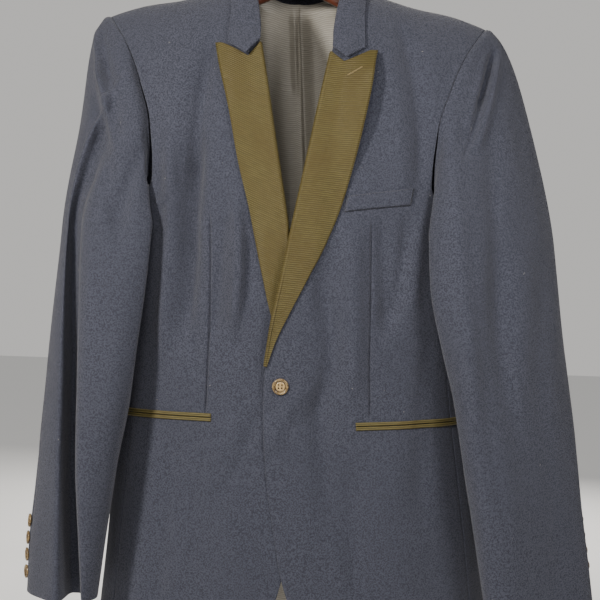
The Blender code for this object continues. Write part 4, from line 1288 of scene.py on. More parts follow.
@dataclass
class Sleeve:
    """A two-piece sleeve with its cap set into the armhole."""

    torso: Torso
    side: Side
    wool: Fabric
    front_points: int = 160
    back_points: int = 62
    under_points: int = 16
    cap_rows: int = 66
    arm_rows: int = 112
    rope: float = 0.0011
    crease: float = 0.0085
    deeper: float = 1.3
    seam: float = 0.00008

    def __post_init__(self) -> None:
        """Takes the sleeve's tables."""
        self.rings = Table(SLEEVE[self.side])
        self.pitch = Table(SLEEVE_PITCH)
        self.settle = Table(SLEEVE_SETTLE)
        self.channel = Table(RIGHT_CHANNEL)

    def armhole_ring(self) -> tuple[Array, Array, Array]:
        """The armhole's edge, with the ways across its seam and out of the body's cloth."""
        side, small = self.side, 2e-3
        arch, behind = np.linspace(0, 1, self.front_points), np.linspace(0, 1, self.back_points)
        under = np.linspace(0, 1, self.under_points + 2)[1:-1]
        found = []
        for half, u, v in (
            (FRONT, np.ones(len(arch)), arch),
            (None, under, np.zeros(len(under))),
            (BACK, np.ones(len(behind) - 1), behind[:0:-1]),
        ):
            point = partial(self.torso.point, half) if half else self.torso.side_point
            edge = point(side, u, v)
            if half:
                across = edge - point(side, u - small, v)
                inside = np.clip(v, small, None)
                along = point(side, u, inside + small) - point(side, u, inside - small)
            else:
                across = edge - point(side, u, v + small)
                along = point(side, u + small, v) - edge
            out = unit(np.cross(across, along))
            out = out * np.sign(np.sum(out * (edge - world(side.sign * 0.10, 0.0, 0.22)), axis=-1))[..., None]
            found.append((edge, unit(across), out))
        edge, across, out = (np.concatenate(part) for part in zip(*found))
        for _ in range(4):
            across, out = (unit(way + np.roll(way, 1, axis=0) + np.roll(way, -1, axis=0)) for way in (across, out))
        return edge, across, out

    def ring_curve(self, down: float, samples: int = 481) -> Array:
        """The sleeve's outline at one height, from its outermost point round the front."""
        at = self.rings.at
        inner, outer = (np.array([at(f"{end}_x", down), at(f"{end}_y", down)]) for end in ("inner", "outer"))
        half = np.linalg.norm(outer - inner) / 2
        main = (outer - inner) / (2 * half)
        ahead = np.array([main[1], -main[0]])
        angle = np.linspace(0, 2 * np.pi, samples)
        power = 2 / SLEEVE_FLATNESS
        cosine = np.sign(np.cos(angle)) * np.abs(np.cos(angle)) ** power
        sine = np.sign(np.sin(angle)) * np.abs(np.sin(angle)) ** power
        depth = np.where(sine > 0, at("ahead", down), at("behind", down))
        curve = (inner + outer) / 2 + half * cosine[:, None] * main + (depth * sine)[:, None] * ahead
        curve += (at("bend", down) * (1 - cosine**2))[:, None] * ahead
        front = step(sine / 0.5)
        if self.side is Side.RIGHT:
            share = (curve[:, 0] - self.channel.at("out", down)) / self.channel.at("half_width", down)
            curve[:, 1] += self.channel.at("depth", down) * self.deeper / (1 + share**6) * front
        curve[:, 1] -= fold_height(SLEEVE_FOLDS[self.side], curve[:, 0], down) * front
        curve[:, 0] *= self.side.sign
        return curve

    def ring_points(self, down: float, share: Array) -> Array:
        """Points round the sleeve at one height, where share is 0 outermost and 0.5 by the front at the inner end."""
        curve = self.ring_curve(down)
        length = np.concatenate([[0], np.cumsum(np.linalg.norm(np.diff(curve, axis=0), axis=1))])
        at = np.interp(np.mod(share, 1.0), (0.0, 0.5, 1.0), (0.0, length[len(length) // 2], length[-1]))
        return world(np.interp(at, length, curve[:, 0]), np.interp(at, length, curve[:, 1]), down)

    def grid(self) -> tuple[Array, Array, Array]:
        """The whole sleeve's outside.

        Returns:
            Its points, rows down it by points round it; each point's share round the armhole; and how much of
            the solid's own folds each row still lacks.
        """
        edge, across, out = self.armhole_ring()
        gaps = np.linalg.norm(np.diff(np.vstack([edge, edge[:1]]), axis=0), axis=1)
        around = np.concatenate([[0], np.cumsum(gaps)[:-1]]) / gaps.sum()
        turn = np.radians(self.pitch.at("turn", around))[:, None]
        leave = unit(across * np.cos(turn) + out * np.sin(turn))
        start = edge + leave * self.seam
        first, last = SLEEVE[self.side][0].down, SLEEVE[self.side][-1].down
        settled = self.settle.at("share", around)
        foot = self.ring_points(first, settled)
        below = self.ring_points(first + 0.01, settled)
        chord = np.linalg.norm(foot - start, axis=1)[:, None]
        leave = leave * chord * self.pitch.at("reach", around)[:, None]
        arrive = (below - foot) / 0.01 * np.maximum(start[:, 2:] - foot[:, 2:], 0.02) * 0.9
        rows, lacking = [], []
        cap = np.linspace(0, 1, self.cap_rows + 1)[:-1]
        for t in np.concatenate([[0.0, 0.0035, 0.010], cap[1:]]):
            rise = 3 * t**2 - 2 * t**3
            curved = (1 - rise) * start + (t**3 - 2 * t**2 + t) * leave + rise * foot + (t**3 - t**2) * arrive
            rows.append(curved)
            lacking.append(1 - rise)
        downs = np.concatenate([np.linspace(first, last, self.arm_rows)[:-1], last - np.array([0.0014, 0.0005, 0.0])])
        for down in downs:
            rows.append(self.ring_points(down, settled + self.rings.at("twist", down)))
            lacking.append(0.0)
        return np.stack(rows), around, np.array(lacking)[:, None]

    def dressed_grid(self) -> tuple[Array, Array, Array]:
        """The sleeve with its fine folds.

        Returns:
            Its points, the way out of the cloth at each, and each point's share round the armhole.
        """
        grid, around, lacking = self.grid()
        normal = self.normals(grid)
        out, down = self.side.sign * grid[..., 0], down_of(grid)
        front = step((0.35 - normal[..., 1]) / 0.4)
        fine, deep = (fold_height(folds[self.side], out, down) for folds in (SLEEVE_FINE, SLEEVE_FOLDS))
        folds = fine + deep * lacking
        seam_end = step(1 - lacking) * 0.8 + 0.2
        round_by = lengths(grid, 1)
        soft = unevenness(round_by, down, 91 + int(self.side.sign), 0.0012, 0.09)
        hidden = self.drag_folds(around[None], down) * (1 - front)
        from_seam = lengths(grid, 0)
        head = self.rope * bell(from_seam - 0.006, 0.0045) * step((0.17 - down) / 0.08)
        deep = self.crease * CREASE_SHARE[self.side]
        head = head - deep * bell(from_seam, 0.009) * step((down - CREASE_FROM[self.side]) / 0.05) * front
        relief = (soft + hidden) * seam_end + head
        ahead = unit(normal + np.array([0.0, -1.5, 0.0]))
        grid = grid + normal * relief[..., None] + ahead * (folds * front * step(from_seam / 0.02))[..., None]
        return grid, self.normals(grid), around

    def drag_folds(self, around: Array, down: Array) -> Array:
        """Slanting creases on the side of the sleeve that the photograph doesn't show."""
        slant = down * 9.0 + around * 14.0 * self.side.sign
        size = step((down - 0.18) / 0.1) * step((0.66 - down) / 0.2)
        patches = np.sin(2 * math.pi * (around * 2.3 + down * 1.7)) ** 2
        return 0.0014 * np.sin(2 * math.pi * slant * 0.9) * size * patches

    @staticmethod
    def normals(grid: Array) -> Array:
        """Outward normals of the sleeve's closed rings."""
        wrapped = np.concatenate([grid[:, -2:], grid, grid[:, :2]], axis=1)
        normal = grid_normals(wrapped)[:, 2:-2]
        axis = grid.mean(axis=1, keepdims=True)
        return -normal if np.sum(normal * (grid - axis)) < 0 else normal

    def build(self) -> None:
        """Makes the top and under sleeve."""
        grid, normal, around = self.dressed_grid()
        count = len(around)
        fore = int(np.argmin(np.abs(around - FORE_SEAM)))
        hind = int(np.argmin(np.abs(around - HIND_SEAM)))
        for part, order in (
            ("top", list(range(hind, count)) + list(range(fore + 1))),
            ("under", list(range(fore, hind + 1))),
        ):
            outside, out = grid[:, order].copy(), normal[:, order]
            first, last = unit(outside[:, 1] - outside[:, 0]), unit(outside[:, -2] - outside[:, -1])
            edges = [outside[:, 0] + first * reach for reach in (self.seam / 2, self.seam / 2 + 0.0005, 0.0016)]
            ends = [outside[:, -1] + last * reach for reach in (0.0016, self.seam / 2 + 0.0005, self.seam / 2)]
            outside = np.concatenate([np.stack(edges, 1), outside[:, 1:-1], np.stack(ends, 1)], axis=1)
            out = np.concatenate([out[:, :1]] * 3 + [out[:, 1:-1]] + [out[:, -1:]] * 3, axis=1)
            self.wool.cut(f"sleeve_{self.side.word}_{part}", outside, out, both_panels(self.side))


@dataclass
class Pockets:
    """The hip pockets' silk jets and the chest pocket's welt."""

    torso: Torso
    silk: Fabric
    wool: Fabric
    columns: int = 90
    jet_rows: int = 12
    jet_thick: float = 0.0016
    welt_columns: int = 70
    welt_rows: int = 26

    def turn_at(self, x: float, down: float) -> float:
        """How far round the body a place on the front lies, in degrees."""
        share = abs(x - self.torso.body.at("centre", down)) / self.torso.body.at("half_width", down)
        return math.degrees(math.asin(min(share, 1.0) ** (FULLNESS / 2)))

    def pocket_turns(self, side: Side) -> Array:
        """Even steps of cloth along a pocket's mouth, as turns round the body."""
        turns = np.linspace(self.turn_at(side.sign * POCKET_IN, POCKET_DOWN[side]), 86.0, 400)
        run, _ = self.torso.on_front(side, np.zeros(400), np.full(400, POCKET_DOWN[side]), turns)
        length = lengths(run[:, None], 0)[:, 0]
        return np.interp(edged(self.columns, POCKET_LENGTH) * POCKET_LENGTH, length, turns)

    def jet(self, side: Side, part: str, low: float, high: float) -> None:
        """One jet: a narrow roll of silk along the pocket's mouth."""
        turns = self.pocket_turns(side)
        share = np.linspace(0, 1, len(turns))
        tall = np.linspace(0, 1, self.jet_rows)
        turn, rise = np.meshgrid(turns, mix(low, high, tall))
        down = POCKET_DOWN[side] - POCKET_RISE[side] * share[None] + rise
        base, normal = self.torso.on_front(side, np.zeros_like(turn), down, turn)
        roll = np.sqrt(np.maximum(1 - (2 * tall - 1) ** 2, 0))[:, None]
        ends = np.minimum(1, np.minimum(share, 1 - share) / 0.006 + 0.2)[None]
        up = 0.0004 + self.jet_thick * (0.25 + 0.75 * roll) * ends
        uv = np.stack([lengths(base, 1), lengths(base, 0)], axis=-1)
        outside, inside = base + normal * up[..., None], base - normal * 0.0004
        self.silk.place(f"pocket_{side.word}_{part}", outside, inside, [f"front_{side.word}_cloth"], uv)

    def welt(self) -> None:
        """The chest welt, sewn down at its ends and along its bottom."""
        corners = np.array(WELT_CORNERS)
        across, along = np.meshgrid(edged(self.welt_columns, 0.075), edged(self.welt_rows, 0.02))
        upper = mix(corners[0], corners[1], across[..., None])
        lower = mix(corners[3], corners[2], across[..., None])
        place = mix(upper, lower, along[..., None])
        base, normal = self.torso.on_front(Side.LEFT, place[..., 0], place[..., 1])
        sewn = 0.0010 * step((1 - along) / 0.10) + 0.0006 * step((1 - along) / 0.3)
        sides = 0.0004 * bell(across, 0.02) + 0.0004 * bell(1 - across, 0.02)
        soft = unevenness(across * 0.075, along * 0.02, 97, 0.0002, 0.05)
        up = 0.0012 + sewn - sides + soft
        draw = pinch(*across.shape)[..., 0] * 0.0009
        uv = np.stack([across * 0.075, along * 0.02], axis=-1)
        outside, inside = base + normal * (up - draw)[..., None], base + normal * (draw - 0.0003)[..., None]
        self.wool.place("chest_welt", outside, inside, ["front_left_cloth"], uv)

    def build(self) -> None:
        """Makes the jets of both pockets and the welt."""
        for side in Side:
            for part, low, high in (("upper", -JET_TALL, -JET_GAP / 2), ("lower", JET_GAP / 2, JET_TALL)):
                self.jet(side, part, low, high)
        self.welt()


@dataclass
class Buttons:
    """Horn buttons with a rim, a groove and four holes, sewn on with thread."""

    horn: Material
    cuff_horn: Material
    thread: Material
    ways_round: int = 56
    wire: float = 0.00028
    cuff_ahead: float = 0.0125
    cuff_out: float = 0.0002
    cuff_lean: float = 0.36

    def button(self, node: str, out: Array) -> None:
        """One button, in the place of its CAD node.

        Args:
            node: The node.
            out: Roughly the way that the button faces.
        """
        solid = frame["nodes"][node]
        points = np.array([tuple(solid.matrix_world @ v.co) for v in solid.data.vertices])
        low, high = points.min(axis=0), points.max(axis=0)
        centre = (low + high) / 2
        spread = np.linalg.eigh(np.cov((points - points.mean(axis=0)).T))
        axis = spread[1][:, 0] * np.sign(spread[1][:, 0] @ out)
        along_axis = (points - centre) @ axis
        flat = points - centre - along_axis[:, None] * axis
        radius = float(np.linalg.norm(flat, axis=1).max())
        thick = float(along_axis.max() - along_axis.min())
        foot = centre + axis * along_axis.min()
        if node.startswith("sleeve_right"):
            cloth = bpy.data.objects["sleeve_right_top_cloth"]
            place = foot + axis * 0.002 + np.array([0.0, -self.cuff_ahead, 0.0])
            _, foot, way, _ = cloth.closest_point_on_mesh(tuple(place))
            foot, way = np.array(foot), np.array(way)
            way = unit(way * np.sign(way @ out))
            axis = unit(way + np.array([0.0, -self.cuff_lean, 0.0]))
            foot = foot + way * self.cuff_out
        upright = np.array([0.0, 0.0, 1.0])
        first = unit(upright - axis * (upright @ axis))
        second = np.cross(axis, first)
        dish = [(0.02 * i, BUTTON_FACE) for i in range(1, 24)]
        profile = np.array(dish + list(BUTTON_SECTION)) * (radius, thick)
        angles = np.linspace(0, 2 * np.pi, self.ways_round, endpoint=False)
        hole_at, hole = HOLE_AT * radius, HOLE_HALF * radius
        vertices, uv = [foot + axis * BUTTON_FACE * thick], [(0.0, 0.0)]
        for distance, height in profile:
            for angle in angles:
                a, b = distance * math.cos(angle), distance * math.sin(angle)
                near = min(math.hypot(abs(a) - hole_at, abs(b) - hole_at) / hole, 3.0)
                dip = HOLE_DEEP * thick * math.exp(-(near**4)) if distance < 0.5 * radius else 0.0
                vertices.append(foot + axis * (height - dip) + first * a + second * b)
                uv.append((a / radius, b / radius))
        vertices.append(foot)
        uv.append((0.0, 0.0))
        count, rings = len(angles), len(profile)
        faces = []
        for k in range(count):
            after = (k + 1) % count
            faces.append((0, 1 + k, 1 + after))
            for ring in range(rings - 1):
                a, b = 1 + ring * count, 1 + (ring + 1) * count
                faces.append((a + k, b + k, b + after, a + after))
            faces.append((len(vertices) - 1, 1 + (rings - 1) * count + after, 1 + (rings - 1) * count + k))
        piece = outward(mesh_object(f"{node}_horn", np.array(vertices), faces, np.array(uv)))
        dressed(piece, self.horn if node == "front_button" else self.cuff_horn, Slot.HORN, node)
        self.sewing(node, foot, (axis, first, second), hole_at, thick)

    def sewing(self, node: str, foot: Array, ways: tuple, hole_at: float, thick: float) -> None:
        """The two bars of thread through a button's holes.

        Args:
            node: The button's node.
            foot: The middle of its underside.
            ways: The way that it faces, and two ways across it.
            hole_at: How far each hole lies from the middle, both ways.
            thick: The button's thickness.
        """
        axis, first, second = ways
        angles = np.linspace(0, 2 * np.pi, 8, endpoint=False)
        for number, sign in enumerate((-1.0, 1.0), start=1):
            path = []
            for share in np.linspace(0, 1, 9):
                up = BUTTON_FACE * thick + 0.0001 - 0.0011 * (2 * share - 1) ** 4
                path.append(foot + axis * up + first * hole_at * (2 * share - 1) + second * hole_at * sign)
            rings = [np.array(path) + self.wire * (axis * math.sin(a) + second * math.cos(a)) for a in angles]
            dressed(closed_tube(f"{node}_thread_{number}", np.stack(rings, axis=1)), self.thread, Slot.SILK)

    def build(self) -> None:
        """Makes the front button and the cuffs' eight."""
        self.button("front_button", np.array(AHEAD))
        for side in Side:
            for number in range(1, 5):
                self.button(f"sleeve_{side.word}_button_{number}", np.array([side.sign, -0.3, 0.0]))


@dataclass
class Lining:
    """The lining inside the back, with the pleat down its middle."""

    torso: Torso
    satin: Fabric
    columns: int = 120
    rows: int = 150
    clear: float = 0.0040
    turned_up: float = 0.011

    def build(self) -> None:
        """Makes the lining."""
        even = edged(self.columns, 2 * LINING_HALF, -1.0, 1.0)
        even = even[(even < -0.19) | (even > 0.25)]
        columns = np.sort(np.concatenate([even, np.linspace(-0.18, 0.24, 64)]))
        along = np.concatenate([edged(self.rows // 2, 0.2, 0.0, 1.0)[:-3], edged(self.rows // 2, 0.5, 1.0, 2.0)[3:]])
        across, along = np.meshgrid(columns, along)
        x = across * LINING_HALF
        above = self.torso.level(BACK, x, np.clip(along, 0, 0.9999))
        down = np.where(along < 1, above, mix(ARMHOLE, LINING_END, along - 1))
        x = x + self.torso.body.at("centre", down)
        y = np.minimum(*(self.torso.y_on(BACK, side, x, down) for side in Side))
        surface = world(x, y, down)
        inward = facing(surface, AHEAD)
        past = x - 0.002 - 0.0675 * (down - 0.011)
        fold = PLEAT_HEIGHT * bell(past, np.where(past < 0, 0.0018, PLEAT_HALF)) * step((0.42 - down) / 0.20)
        fold = fold + 0.0060 * bell(past + 0.0085, 0.0042) * step((0.13 - down) / 0.06)
        slack = 0.0045 * bell(x + 0.040 - 0.10 * (down - 0.05), 0.011) * step((0.40 - down) / 0.15)
        slack = slack + 0.0035 * bell(x - 0.050 + 0.06 * down, 0.013) * step((0.38 - down) / 0.15)
        soft = unevenness(x, down, 101, 0.0009, 0.06)
        top = step(along / 0.08)
        over = np.clip(1 - along / 0.06, 0, 1) * step((0.06 - np.abs(x)) / 0.03)
        away = self.clear + np.maximum(fold * top + slack * top + soft * top, -0.0006) + 0.0045 * over
        surface[..., 2] += self.turned_up * over
        grid = surface + inward * away[..., None]
        self.satin.cut("back_lining", grid, facing(grid, AHEAD), ["back_left_cloth", "back_right_cloth"])


@dataclass
class Hanger:
    """The wooden hanger and its steel hook."""

    wood: Material
    steel: Material
    ways_round: int = 36

    def body(self) -> None:
        """The hanger's wooden arms."""
        table = Table(HANGER)
        last = HANGER[-1].out
        places = np.linspace(-last, last, 121)
        angles = 2 * np.pi * np.arange(self.ways_round) / self.ways_round
        rings = []
        for place in places:
            out = abs(place)
            end = max(1 - max((out - last + 0.012) / 0.012, 0.0) ** 2, 0.04) ** 0.5
            tall = table.at("tall", out) * end
            top = table.at("top", out) + table.at("tall", out) * (1 - end) / 2
            thick = table.at("half_thick", out) * end
            cosine = np.sign(np.cos(angles)) * np.abs(np.cos(angles)) ** 0.92
            sine = np.sign(np.sin(angles)) * np.abs(np.sin(angles)) ** 0.92
            rings.append(world(place, thick * cosine, top + tall / 2 * (1 - sine)))
        dressed(closed_tube("hanger_body_wood", np.stack(rings)), self.wood, Slot.WOOD, "hanger_body")

    def hook(self) -> None:
        """The hook's wire, with a rounded tip."""
        radius = HOOK_INSIDE + HOOK_WIRE
        angles = np.radians(np.linspace(HOOK_TIP, HOOK_TURN, 60))
        bow = [(radius * math.cos(a), -HOOK_INSIDE + radius * math.sin(a)) for a in angles]
        foot = -(HOOK_DROP + HANGER[0].top) + SEAM
        stem = [(0.0068, -0.0405), (0.0015, -0.0475), (0.0, -0.056), (0.0, foot)]
        route = np.array(bow + stem)
        run = lengths(np.concatenate([route, np.zeros((len(route), 1))], axis=1)[:, None], 0)[:, 0]
        even = np.linspace(0, run[-1], 150)
        route = np.stack([np.interp(even, run, route[:, 0]), np.interp(even, run, route[:, 1])], axis=1)
        for _ in range(8):
            route[1:-1] = (route[:-2] + 2 * route[1:-1] + route[2:]) / 4
        along = unit(np.gradient(route, axis=0))
        rings = []
        ways = 2 * np.pi * np.arange(20) / 20
        for (x, z), (run_x, run_z), length in zip(route, along, even):
            short = max(1 - length / HOOK_WIRE, 0.0)
            wire = HOOK_WIRE * math.sqrt(max(1 - short**2, 0.02))
            across = wire * np.cos(ways)
            rings.append(np.stack([x - run_z * across, wire * np.sin(ways), z + run_x * across], axis=-1))
        dressed(closed_tube("hanger_hook_steel", np.stack(rings)), self.steel, Slot.STEEL, "hanger_hook")

    def build(self) -> None:
        """Makes the hanger."""
        self.body()
        self.hook()


class Nodes:
    """Adds nodes to a material or group and joins them."""

    def __init__(self, tree: bpy.types.NodeTree) -> None:
        """Keeps the tree."""
        self.tree = tree

    def join(self, node: Node, inputs: dict) -> Node:
        """Fills a node's inputs.

        Args:
            node: The node.
            inputs: A value or a socket for each named input, with _ for a blank; in_0 and so on go by number.

        Returns:
            The node.
        """
        for name, value in inputs.items():
            socket = node.inputs[int(name[3:]) if name.startswith("in_") else name.replace("_", " ")]
            if isinstance(value, Socket):
                self.tree.links.new(value, socket)
            else:
                socket.default_value = (*value, 1.0) if socket.type == "RGBA" else value
        return node

    def add(self, kind: str, settings: Optional[dict] = None, **inputs: object) -> Node:
        """A new node.

        Args:
            kind: The node's type name, without its prefix.
            settings: Its own properties.
            inputs: As join takes them.

        Returns:
            The node.
        """
        node = self.tree.nodes.new(f"ShaderNode{kind}")
        for name, value in (settings or {}).items():
            setattr(node, name, value)
        return self.join(node, inputs)

    def sum(self, kind: str, first: object, second: object = 0.0, third: object = 0.0) -> Socket:
        """The result of a Math node."""
        return self.add("Math", {"operation": kind}, in_0=first, in_1=second, in_2=third).outputs[0]

    def vector(self, kind: str, first: object, **inputs: object) -> Node:
        """A Vector Math node."""
        return self.add("VectorMath", {"operation": kind}, in_0=first, **inputs)

    def range(self, value: object, low: float, high: float, to_low: float = 0.0, to_high: float = 1.0) -> Socket:
        """A value moved from one range to another, and kept within it."""
        ends = {"in_1": low, "in_2": high, "in_3": to_low, "in_4": to_high}
        return self.add("MapRange", {"interpolation_type": "SMOOTHSTEP"}, in_0=value, **ends).outputs[0]

    def blend(self, factor: object, first: object, second: object) -> Socket:
        """A colour between two others."""
        return self.add("Mix", {"data_type": "RGBA"}, in_0=factor, in_6=first, in_7=second).outputs[2]

    def over(self, colour: Socket, mask: Socket, share: float, other: object) -> Socket:
        """A colour with a share of another laid over it where the mask is."""
        return self.blend(self.sum("MULTIPLY", mask, share), colour, other)


class Group(Nodes):
    """A new shader node group."""

    def __init__(self, name: str, outputs: Sequence[str], **inputs: Optional[float]) -> None:
        """Makes the group.

        Args:
            name: Its name.
            outputs: The names of the values that it gives.
            inputs: Each input's usual value, or None where it takes places.
        """
        super().__init__(bpy.data.node_groups.new(name, "ShaderNodeTree"))
        new_socket = self.tree.interface.new_socket
        for label, value in inputs.items():
            kind = "Vector" if value is None else "Float"
            socket = new_socket(name=label, in_out="INPUT", socket_type=f"NodeSocket{kind}")
            if value is not None:
                socket.default_value = value
        for label in outputs:
            new_socket(name=label, in_out="OUTPUT", socket_type="NodeSocketFloat")
        self.given = self.tree.nodes.new("NodeGroupInput").outputs
        self.result = self.tree.nodes.new("NodeGroupOutput")

    def wander(self, scale: float, detail: float, reach: float) -> Socket:
        """The cloth's places, moved a little this way and that.

        Args:
            scale: How fine the movement is.
            detail: How broken it is.
            reach: How far it goes.

        Returns:
            The moved places.
        """
        noise = self.add("TexNoise", Vector=self.given["Cloth"], Scale=scale, Detail=detail)
        shift = self.vector("SCALE", noise.outputs["Color"], Scale=reach)
        return self.vector("ADD", self.given["Cloth"], in_1=shift.outputs[0]).outputs[0]

    def done(self, **values: Socket) -> bpy.types.NodeTree:
        """Joins the group's outputs, and gives the group."""
        self.join(self.result, values)
        return self.tree


class Effects:
    """The effects that several finishes share, each a node group built once."""

    def __init__(self) -> None:
        """Builds the groups."""
        self.weave = self.build_weave()
        self.ribs = self.build_ribs()
        self.lint = self.build_lint()
        self.mottle = self.build_mottle()

    @staticmethod
    def build_weave() -> bpy.types.NodeTree:
        """A hopsack weave: small squares of yarn that rise and sink by turns, uneven in size."""
        weave = Group("hopsack weave", ("Height", "Shade"), Cloth=None, Place=None, Pitch=0.001)
        moved = weave.wander(240.0, 2.0, 0.0050)
        scaled = weave.vector("SCALE", moved, Scale=weave.sum("DIVIDE", math.pi, weave.given["Pitch"]))
        apart = weave.add("SeparateXYZ", Vector=scaled.outputs[0]).outputs
        height = weave.sum("MULTIPLY", weave.sum("SINE", apart[0]), weave.sum("SINE", apart[1]))
        grain = weave.add("TexNoise", Vector=weave.given["Place"], Scale=640.0, Detail=3.0, Roughness=0.65)
        shade = weave.sum("MULTIPLY_ADD", height, 0.16, weave.range(grain.outputs["Fac"], 0.34, 0.66))
        return weave.done(Height=shade, Shade=weave.range(shade, 0.0, 1.0))

    @staticmethod
    def build_ribs() -> bpy.types.NodeTree:
        """Fine ribs across the cloth, each a little broken."""
        ribs = Group("ribs", ("Height", "Shade"), Cloth=None, Pitch=0.002, Broken=0.3)
        stretched = ribs.add("Mapping", Vector=ribs.given["Cloth"], Scale=(90.0, 420.0, 1.0))
        wander = ribs.add("TexNoise", Vector=stretched.outputs[0], Scale=1.0, Detail=2.0)
        centred = ribs.sum("SUBTRACT", wander.outputs["Fac"], 0.5)
        apart = ribs.add("SeparateXYZ", Vector=ribs.given["Cloth"]).outputs
        turn = ribs.sum("DIVIDE", apart[1], ribs.given["Pitch"])
        turn = ribs.sum("ADD", turn, ribs.sum("MULTIPLY", centred, ribs.given["Broken"]))
        wave = ribs.sum("SINE", ribs.sum("MULTIPLY", turn, 2 * math.pi))
        height = ribs.sum("MULTIPLY_ADD", wave, 0.5, 0.5)
        yarn = ribs.sum("SINE", ribs.sum("MULTIPLY", apart[0], 9000.0))
        shade = ribs.range(ribs.sum("MULTIPLY_ADD", centred, 0.9, height), 0.0, 1.0)
        return ribs.done(Height=ribs.sum("MULTIPLY_ADD", yarn, 0.08, height), Shade=shade)

    @staticmethod
    def build_lint() -> bpy.types.NodeTree:
        """Scattered specks and short hairs of lint."""
        lint = Group("lint", ("Mask",), Cloth=None, Density=60.0)
        moved = lint.wander(350.0, 1.0, 0.003)
        cells = lint.add("TexVoronoi", {"feature": "F1"}, Vector=moved, Scale=lint.given["Density"]).outputs
        speck = lint.range(cells["Distance"], 0.035, 0.06, 1.0, 0.0)
        chosen = lint.add("SeparateColor", Color=cells["Color"])
        return lint.done(Mask=lint.sum("MULTIPLY", speck, lint.sum("GREATER_THAN", chosen.outputs[0], 0.62)))

    @staticmethod
    def build_mottle() -> bpy.types.NodeTree:
        """Slow changes of tone over a surface."""
        mottle = Group("mottle", ("Tone",), Place=None, Size=30.0)
        place = {"Vector": mottle.given["Place"], "Scale": mottle.given["Size"]}
        noise = mottle.add("TexNoise", Detail=4.0, Roughness=0.55, **place)
        return mottle.done(Tone=mottle.range(noise.outputs["Fac"], 0.3, 0.7))


class Look(Nodes):
    """A new material, with its Principled shader and the places that its patterns follow."""

    def __init__(self, name: str, effects: Effects) -> None:
        """Starts the material.

        Args:
            name: Its name.
            effects: The shared effects.
        """
        self.made = bpy.data.materials.new(name)
        self.made.use_nodes = True
        super().__init__(self.made.node_tree)
        self.effects = effects
        self.shader = self.tree.nodes["Principled BSDF"]
        places = self.add("TexCoord").outputs
        self.cloth, self.place = places["UV"], places["Object"]

    def effect(self, name: str, **inputs: object) -> bpy.types.bpy_prop_collection:
        """A shared effect's outputs, for the places and values given to it here."""
        return self.add("Group", {"node_tree": getattr(self.effects, name)}, **inputs).outputs

    def tone(self, place: Socket, size: float) -> Socket:
        """Slow changes of tone over the places given."""
        return self.effect("mottle", Place=place, Size=size)["Tone"]

    def done(self, colour: Socket, rough: tuple, height: Socket, depth: float, **constants: object) -> Material:
        """Joins up the shader.

        Args:
            colour: The surface's colour.
            rough: A mask, and the roughness where it is 0 and where it is 1.
            height: The surface's height.
            depth: How deep a height of 1 is.
            constants: The shader's other inputs.

        Returns:
            The material.
        """
        bump = self.add("Bump", Height=height, Strength=1.0, Distance=depth)
        mask, smooth, dull = rough
        joined = {"Roughness": self.range(mask, 0.0, 1.0, smooth, dull), "Normal": bump.outputs[0]}
        self.join(self.shader, {"Base_Color": colour, **constants, **joined})
        return self.made


@dataclass(frozen=True)
class WoolFinish:
    """Slate-navy wool in a small hopsack weave, matt, with flecks of lint."""

    low: tuple = (0.029, 0.032, 0.049)
    high: tuple = (0.071, 0.076, 0.107)
    worn: tuple = (0.050, 0.054, 0.076)
    speck: tuple = (0.34, 0.33, 0.31)
    pitch: float = 0.0019
    depth: float = 0.00034
    roughness: float = 0.78

    def material(self, effects: Effects) -> Material:
        """The finish as a material."""
        look = Look("wool", effects)
        weave = look.effect("weave", Cloth=look.cloth, Place=look.place, Pitch=self.pitch)
        tone = look.tone(look.place, 9.0)
        colour = look.over(look.blend(weave["Shade"], self.low, self.high), tone, 0.28, self.worn)
        colour = look.over(colour, look.effect("lint", Cloth=look.cloth, Density=46.0)["Mask"], 0.5, self.speck)
        sheen = {"Sheen_Weight": 0.22, "Sheen_Roughness": 0.45, "Sheen_Tint": (0.85, 0.85, 0.90)}
        rough = (tone, self.roughness, self.roughness + 0.1)
        return look.done(colour, rough, weave["Height"], self.depth, Specular_IOR_Level=0.25, **sheen)


@dataclass(frozen=True)
class RibbedFinish:
    """Olive-brown grosgrain, with fine ribs that catch the light; other ribbed cloths and threads follow from it."""

    name: str
    low: tuple = (0.062, 0.049, 0.0165)
    high: tuple = (0.126, 0.104, 0.038)
    worn: tuple = (0.078, 0.056, 0.018)
    worn_share: float = 0.55
    mottle: float = 26.0
    pitch: float = 0.0023
    depth: float = 0.00030
    broken: float = 0.35
    rough: tuple = (0.55, 0.40)
    rough_by_tone: bool = False
    shine: tuple = (("Specular_IOR_Level", 0.22), ("Sheen_Weight", 0.04), ("Sheen_Tint", (0.9, 0.8, 0.4)))

    def material(self, effects: Effects) -> Material:
        """The finish as a material."""
        look = Look(self.name, effects)
        ribs = look.effect("ribs", Cloth=look.cloth, Pitch=self.pitch, Broken=self.broken)
        colour, mask = look.blend(ribs["Shade"], self.low, self.high), ribs["Shade"]
        if self.worn_share:
            tone = look.tone(look.cloth, self.mottle)
            colour = look.over(colour, tone, self.worn_share, self.worn)
            mask = tone if self.rough_by_tone else mask
        return look.done(colour, (mask, *self.rough), ribs["Height"], self.depth, **dict(self.shine))


@dataclass(frozen=True)
class LiningFinish(RibbedFinish):
    """Taupe-grey satin with fine ribs."""

    name: str = "lining"
    low: tuple = (0.245, 0.230, 0.200)
    high: tuple = (0.405, 0.382, 0.335)
    worn: tuple = (0.405, 0.382, 0.335)
    worn_share: float = 0.4
    mottle: float = 25.0
    pitch: float = 0.0026
    depth: float = 0.00016
    broken: float = 0.5
    rough: tuple = (0.34, 0.44)
    rough_by_tone: bool = True
    shine: tuple = (("Specular_IOR_Level", 0.5),)


